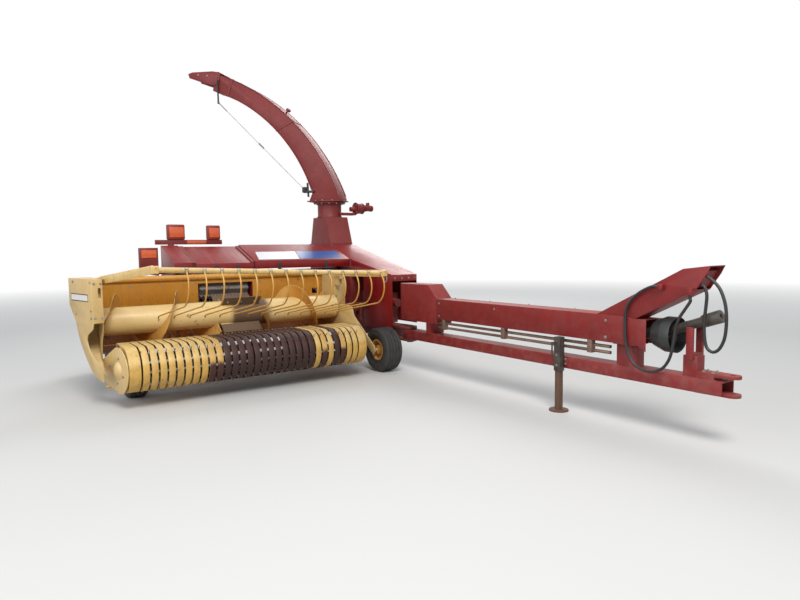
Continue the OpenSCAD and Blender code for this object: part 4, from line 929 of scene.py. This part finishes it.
# Pickup
# Rounded stripper bands over a reel of spring tines. Some bands were replaced or repainted and
# the others have rusted to a dark brown, and each is screwed to the pan's lip.
def band_finish(name, upper, lower, split, worn):
    f = Finish(name)
    mottle = f.noise(14, 6, 0.68)
    cloud = f.noise(2.6, 5, 0.6)
    # The colour changes at split: for the half band a yellow top over brown, for the others painted shade
    # below.
    height = (f.z + mottle * 0.10).rise(split, split + 0.05)
    base = f.mix(height, lower, upper)
    base = f.mix(mottle.rise(0.3, 0.75) * 0.5, base, f.mix(0.6, base, (0.05, 0.024, 0.016)))
    spots = f.noise(30, 5, 0.7).rise(0.60, 0.70) * cloud.rise(0.40, 0.62) * worn
    base = f.mix(spots * 0.85, base, (0.10, 0.035, 0.018))
    f.bump(mottle, 0.10, 0.002)
    f.bump(spots, -0.2, 0.0006)
    return f.done(base, 0.52 + mottle * 0.2)


# The yellow and brown bands are darker below split: painted shade on their lower faces. The half band is
# yellow on top over brown.
band_yellow = band_finish("band_yellow", (0.70, 0.48, 0.17), (0.60, 0.36, 0.08), 0.40, 1.0)
band_brown = band_finish("band_brown", (0.040, 0.009, 0.006), (0.028, 0.008, 0.006), 0.40, 0.5)
band_half = band_finish("band_half", (0.62, 0.38, 0.11), (0.050, 0.012, 0.008), 0.36, 0.9)
band_pattern = "YYYYYYYYHHBBBBBBBBBBBBYHYBHYYY"
row_start, band_step, pattern_step = -1.0005, 0.0667, 0.069
mesh = rest_mesh("strippers")
soften(mesh, hard_edges(mesh, 0.56), 0.0010)
for face in mesh.faces:
    middle = face.calc_center_median() + reel_offset
    extent = max(v.co.y for v in face.verts) - min(v.co.y for v in face.verts)
    number = int((middle.y - row_start) / pattern_step)
    if extent < 0.08 and abs(middle.y) < 1.0:
        face.material_index = "YBH".index(band_pattern[min(max(number, 0), len(band_pattern) - 1)])
strippers = finished("strippers_finished", mesh, [band_yellow, band_brown, band_half], "header")
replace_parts(strippers, "strippers")
band_places = [row_start + band_step * (k + 0.5) for k in range(len(band_pattern))]
bolts("band_bolts", rows(-0.255, band_places, 0.5105), (0, 0, 1), 0.009, "header")
tine_rust = steel_finish("tine_rust", (0.20, 0.11, 0.07), (0.09, 0.045, 0.028), 1.0, 0.5, 0.4)
dressed("tine_reel", tine_rust, 0)
tine_circle, coil_radius, coil_half, tine_shift = 0.118, 0.020, 0.003, 0.0333
mesh = bmesh.new()
for k in range(4):
    turn = math.radians(45 + 90 * k)
    bar = Vector((tine_circle * math.cos(turn), 0, -tine_circle * math.sin(turn)))
    for y in band_places[:-1]:
        seat = at(0, y + tine_shift, reel_height) + bar
        for shift in (-0.016, -0.008, 0.008, 0.016):
            ends = [seat + Vector((0, shift + side * coil_half, 0)) for side in (-1, 1)]
            bar_between(mesh, *ends, coil_radius)
finished("tine_coils", mesh, tine_rust, "tine_reel")


# Windguard
# A tube on two flat arms carries bent rods that hold the crop down on the tines. Each rod is
# held in a clamp on the tube.
guard_yellow = worn_yellow("guard_yellow", (0.60, 0.39, 0.12), (0.66, 0.51, 0.27), 0.5)
rod_yellow = worn_yellow("rod_yellow", (0.46, 0.21, 0.022), (0.58, 0.36, 0.10), 0.7)
dressed("windguard", guard_yellow, 0.0014)
guard_turn = Matrix.Rotation(math.radians(-2.5), 3, "X")


def on_guard(x, y, z):
    return at(0.600, 0, 1.097) + guard_turn @ Vector((x, y, z))


def onward(point, length, angle):
    a = math.radians(angle)
    return point[0] - length * math.cos(a), point[1] - length * math.sin(a)


# A rod in its own plane: a bow over the tube, a straight tail and a hooked end
bow_radius, tail_length, hook_length, rod_diameter = 0.150, 0.740, 0.030, 0.0128
bow_turns = [math.radians(a) for a in range(52, -81, -6)]
bow = [(-0.075 + bow_radius * math.cos(a), -0.130 + bow_radius * math.sin(a)) for a in bow_turns]
tail = onward(bow[-1], tail_length, 10)
rod_line = bow + [tail, onward(tail, hook_length, 50)]
rods = bpy.data.curves.new("guard_rods_bent", "CURVE")
rods.dimensions = "3D"
rods.bevel_depth = rod_diameter / 2
rods.bevel_resolution = 3
rods.use_fill_caps = True
rods.materials.append(rod_yellow)
rod_places = [-0.750 + 0.134 * k for k in range(14)]
for y in rod_places:
    spline = rods.splines.new("POLY")
    spline.points.add(len(rod_line) - 1)
    for point, (x, z) in zip(spline.points, rod_line):
        point.co = (*on_guard(x, y, z), 1)
made = placed("guard_rods_bent", rods)
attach(made, "windguard")
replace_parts(made, "guard_rods")
mesh = bmesh.new()
for y in rod_places:
    for dy in (-0.012, 0.012):
        bar_between(mesh, on_guard(0.0, y + dy - 0.003, 0), on_guard(0.0, y + dy + 0.003, 0), 0.0235, 24)
    bar_between(mesh, on_guard(0.016, y - 0.015, 0.006), on_guard(0.016, y + 0.015, 0.006), 0.006)
finished("rod_clamps", mesh, bolt_steel, "windguard")

# Clamps at the tube's ends, and a ring that hangs at its left end
mesh = bmesh.new()
for y in (-0.975, 1.030):
    rounded_block(mesh, on_guard(-0.034, y - 0.028, -0.030), on_guard(0.030, y + 0.022, 0.030), 0.004)
    for z in (-0.018, 0.018):
        bar_between(mesh, on_guard(0.030, y, z), on_guard(0.040, y, z), 0.007, 6)
finished("guard_end_clamps", mesh, guard_yellow, "windguard")
mesh = bmesh.new()
ring_top, ring_wide, ring_high, ring_steps = on_guard(0.0, 1.052, -0.022), 0.021, 0.030, 14
ring_turns = [2 * math.pi * k / ring_steps for k in range(ring_steps + 1)]
loop = [ring_top + Vector((ring_wide * math.sin(t), 0, -ring_high + ring_high * math.cos(t)))
        for t in ring_turns]
for a, b in zip(loop, loop[1:]):
    bar_between(mesh, a, b, 0.0045, 8)
finished("guard_shackle", mesh, bolt_steel, "windguard")


# Feed rolls
# Toothed bars on steel drums in the throat behind the auger, polished grey by the crop.
roll_steel = steel_finish("roll_steel", (0.34, 0.31, 0.28), (0.14, 0.115, 0.10), 0.8)
for node in ("feed_roll_upper", "feed_roll_lower"):
    dressed(node, roll_steel, 0)


# Drawbar, pivot box and driveline shield
# A welded box beam with a shield over the drive shaft. Its paint is chipped more than the hoods',
# and dust lies on what faces up.
drawbar_red = painted("drawbar_red", (0.19, 0.004, 0.004), (0.23, 0.024, 0.020), dust_top=0.45, chips=0.8)
for node in ("drawbar", "pivot_box", "driveline_shield", "shield_arm"):
    dressed(node, drawbar_red, 0.0018)
shield_tops = rows((0.72, 1.20, 1.68, 2.16, 2.60), (1.665, 1.785), 0.7822)
bolts("shield_bolts", shield_tops, (0, 0, 1), 0.011, "drawbar")
shield_sides = ((0.66, 0.62), (0.66, 0.74), (1.42, 0.74), (2.56, 0.62), (2.56, 0.74))
bolts("shield_side_bolts", [at(x, 1.6298, z) for x, z in shield_sides], (0, -1, 0), 0.011, "drawbar")
bolts("jack_bracket_bolts", rows((2.11, 2.19), 1.6443, (0.370, 0.405)), (0, -1, 0), 0.010, "drawbar")
bolts("clevis_bolts", rows((3.25, 3.31), (1.70, 1.75), 0.4655), (0, 0, 1), 0.013, "drawbar")


# Jack
# A square-tube jack with a side crank; the foot stands on the ground.
jack_black = painted("jack_black", (0.030, 0.022, 0.018), (0.07, 0.055, 0.045), chips=1.0,
                     bare=(0.12, 0.055, 0.03))
jack_rust = steel_finish("jack_rust", (0.13, 0.075, 0.05), (0.06, 0.032, 0.022), 1.0, 0.55, 0.3)
dressed("jack_post", jack_black, 0.002)
dressed("jack_leg", jack_rust, 0.0015)
bolts("jack_pins", rows(2.150, 1.5880, (0.36, 0.44)), (0, -1, 0), 0.010, "drawbar")


# Drive shaft, its guard and the steel tubes
# The splined yoke at the end fits a tractor's shaft. A black cone guards the joint behind it.
guard_black = plain_film("guard_black", (0.022, 0.024, 0.024), (0.10, 0.09, 0.08), 0.45)
shaft_steel = steel_finish("shaft_steel", (0.13, 0.115, 0.10), (0.05, 0.044, 0.038), 0.7, 0.45, 0.5)
dressed("pto_guard", guard_black, 0.0015)
dressed("pto_shaft", shaft_steel, 0.0012)
tube_steel = steel_finish("tube_steel", (0.30, 0.22, 0.17), (0.13, 0.07, 0.045), 0.9)
dressed("steel_tubes", tube_steel, 0.001)
shaft_start = at(2.985, 1.725, 0.697)
shaft_along = Vector((math.cos(math.radians(20)), 0, math.sin(math.radians(20))))
mesh = bmesh.new()
for reach, radius, length in ((0.262, 0.039, 0.012), (0.150, 0.0325, 0.006), (0.060, 0.0325, 0.006)):
    spot = shaft_start + shaft_along * reach
    bar_between(mesh, spot - shaft_along * length / 2, spot + shaft_along * length / 2, radius, 32)
finished("shaft_rings", mesh, shaft_steel, "pto_shaft")


# Floor, light and background
# A plain pale studio floor under soft lamps, and a background that looks white to the camera.
floor_mesh = bmesh.new()
bmesh.ops.create_grid(floor_mesh, x_segments=1, y_segments=1, size=60)
floor_data = bpy.data.meshes.new("floor")
floor_mesh.to_mesh(floor_data)
floor_mesh.free()
floor = placed("floor", floor_data)
f = Finish("floor_pale")
floor_paint = f.done(f.mix(f.noise(0.6, 3) * 0.3, (0.56, 0.56, 0.55), (0.52, 0.52, 0.51)), 0.8)
floor_data.materials.append(floor_paint)
# Between these distances from the machine the camera sees the floor run into the white background
fade_start, fade_end = 7.0, 20.0
spot = f.node("ShaderNodeNewGeometry", {}, out="Position")
away = f.node("ShaderNodeVectorMath", {"operation": "LENGTH"}, spot, out="Value")
fade = f.node("ShaderNodeMapRange", {}, away, fade_start, fade_end)
seen_far = fade * f.node("ShaderNodeLightPath", {}, out="Is Camera Ray")
pale = f.node("ShaderNodeEmission", {}, (1, 1, 1))
lit = Wire(f, f.shader.outputs["BSDF"])
f.put(f.surface, f.node("ShaderNodeMixShader", {}, seen_far, lit, pale))


def soft_lamp(name, place, target, size, watts, colour=(1, 1, 1)):
    data = bpy.data.lights.new(name, "AREA")
    data.shape = "DISK"
    data.size = size
    data.energy = watts
    data.color = colour
    lamp = placed(name, data)
    lamp.location = place
    lamp.rotation_euler = (Vector(target) - Vector(place)).to_track_quat("-Z", "Y").to_euler()


soft_lamp("key_lamp", (7.5, -3.0, 8.5), (0, 0, 0.8), 4.5, 1000, (1.0, 0.97, 0.93))
soft_lamp("fill_lamp", (2.0, -10.0, 4.5), (0, 0, 1.0), 6.0, 420, (0.95, 0.97, 1.0))
soft_lamp("back_lamp", (-7.0, 6.5, 7.0), (0, 0, 1.2), 5.0, 520)

world = bpy.data.worlds.new("studio")
bpy.context.scene.world = world
world.use_nodes = True
studio = Nodes(world.node_tree)
rays = ("Is Camera Ray", "Is Glossy Ray", "Is Transmission Ray")
camera_ray, glossy_ray, glass_ray = [studio.node("ShaderNodeLightPath", {}, out=ray) for ray in rays]
mirrored = studio.node("ShaderNodeMath", {"operation": "MAXIMUM"}, glossy_ray, glass_ray)
seen = studio.node("ShaderNodeMath", {"operation": "MAXIMUM"}, camera_ray, mirrored)
soft = studio.node("ShaderNodeBackground", {}, (0.80, 0.84, 0.90), 0.55)
white = studio.node("ShaderNodeBackground", {}, (1, 1, 1), 1.0)
sky = studio.tree.nodes.new("ShaderNodeOutputWorld")
studio.put(sky.inputs["Surface"], studio.node("ShaderNodeMixShader", {}, seen, soft, white))
bpy.context.scene.view_settings.view_transform = "Standard"
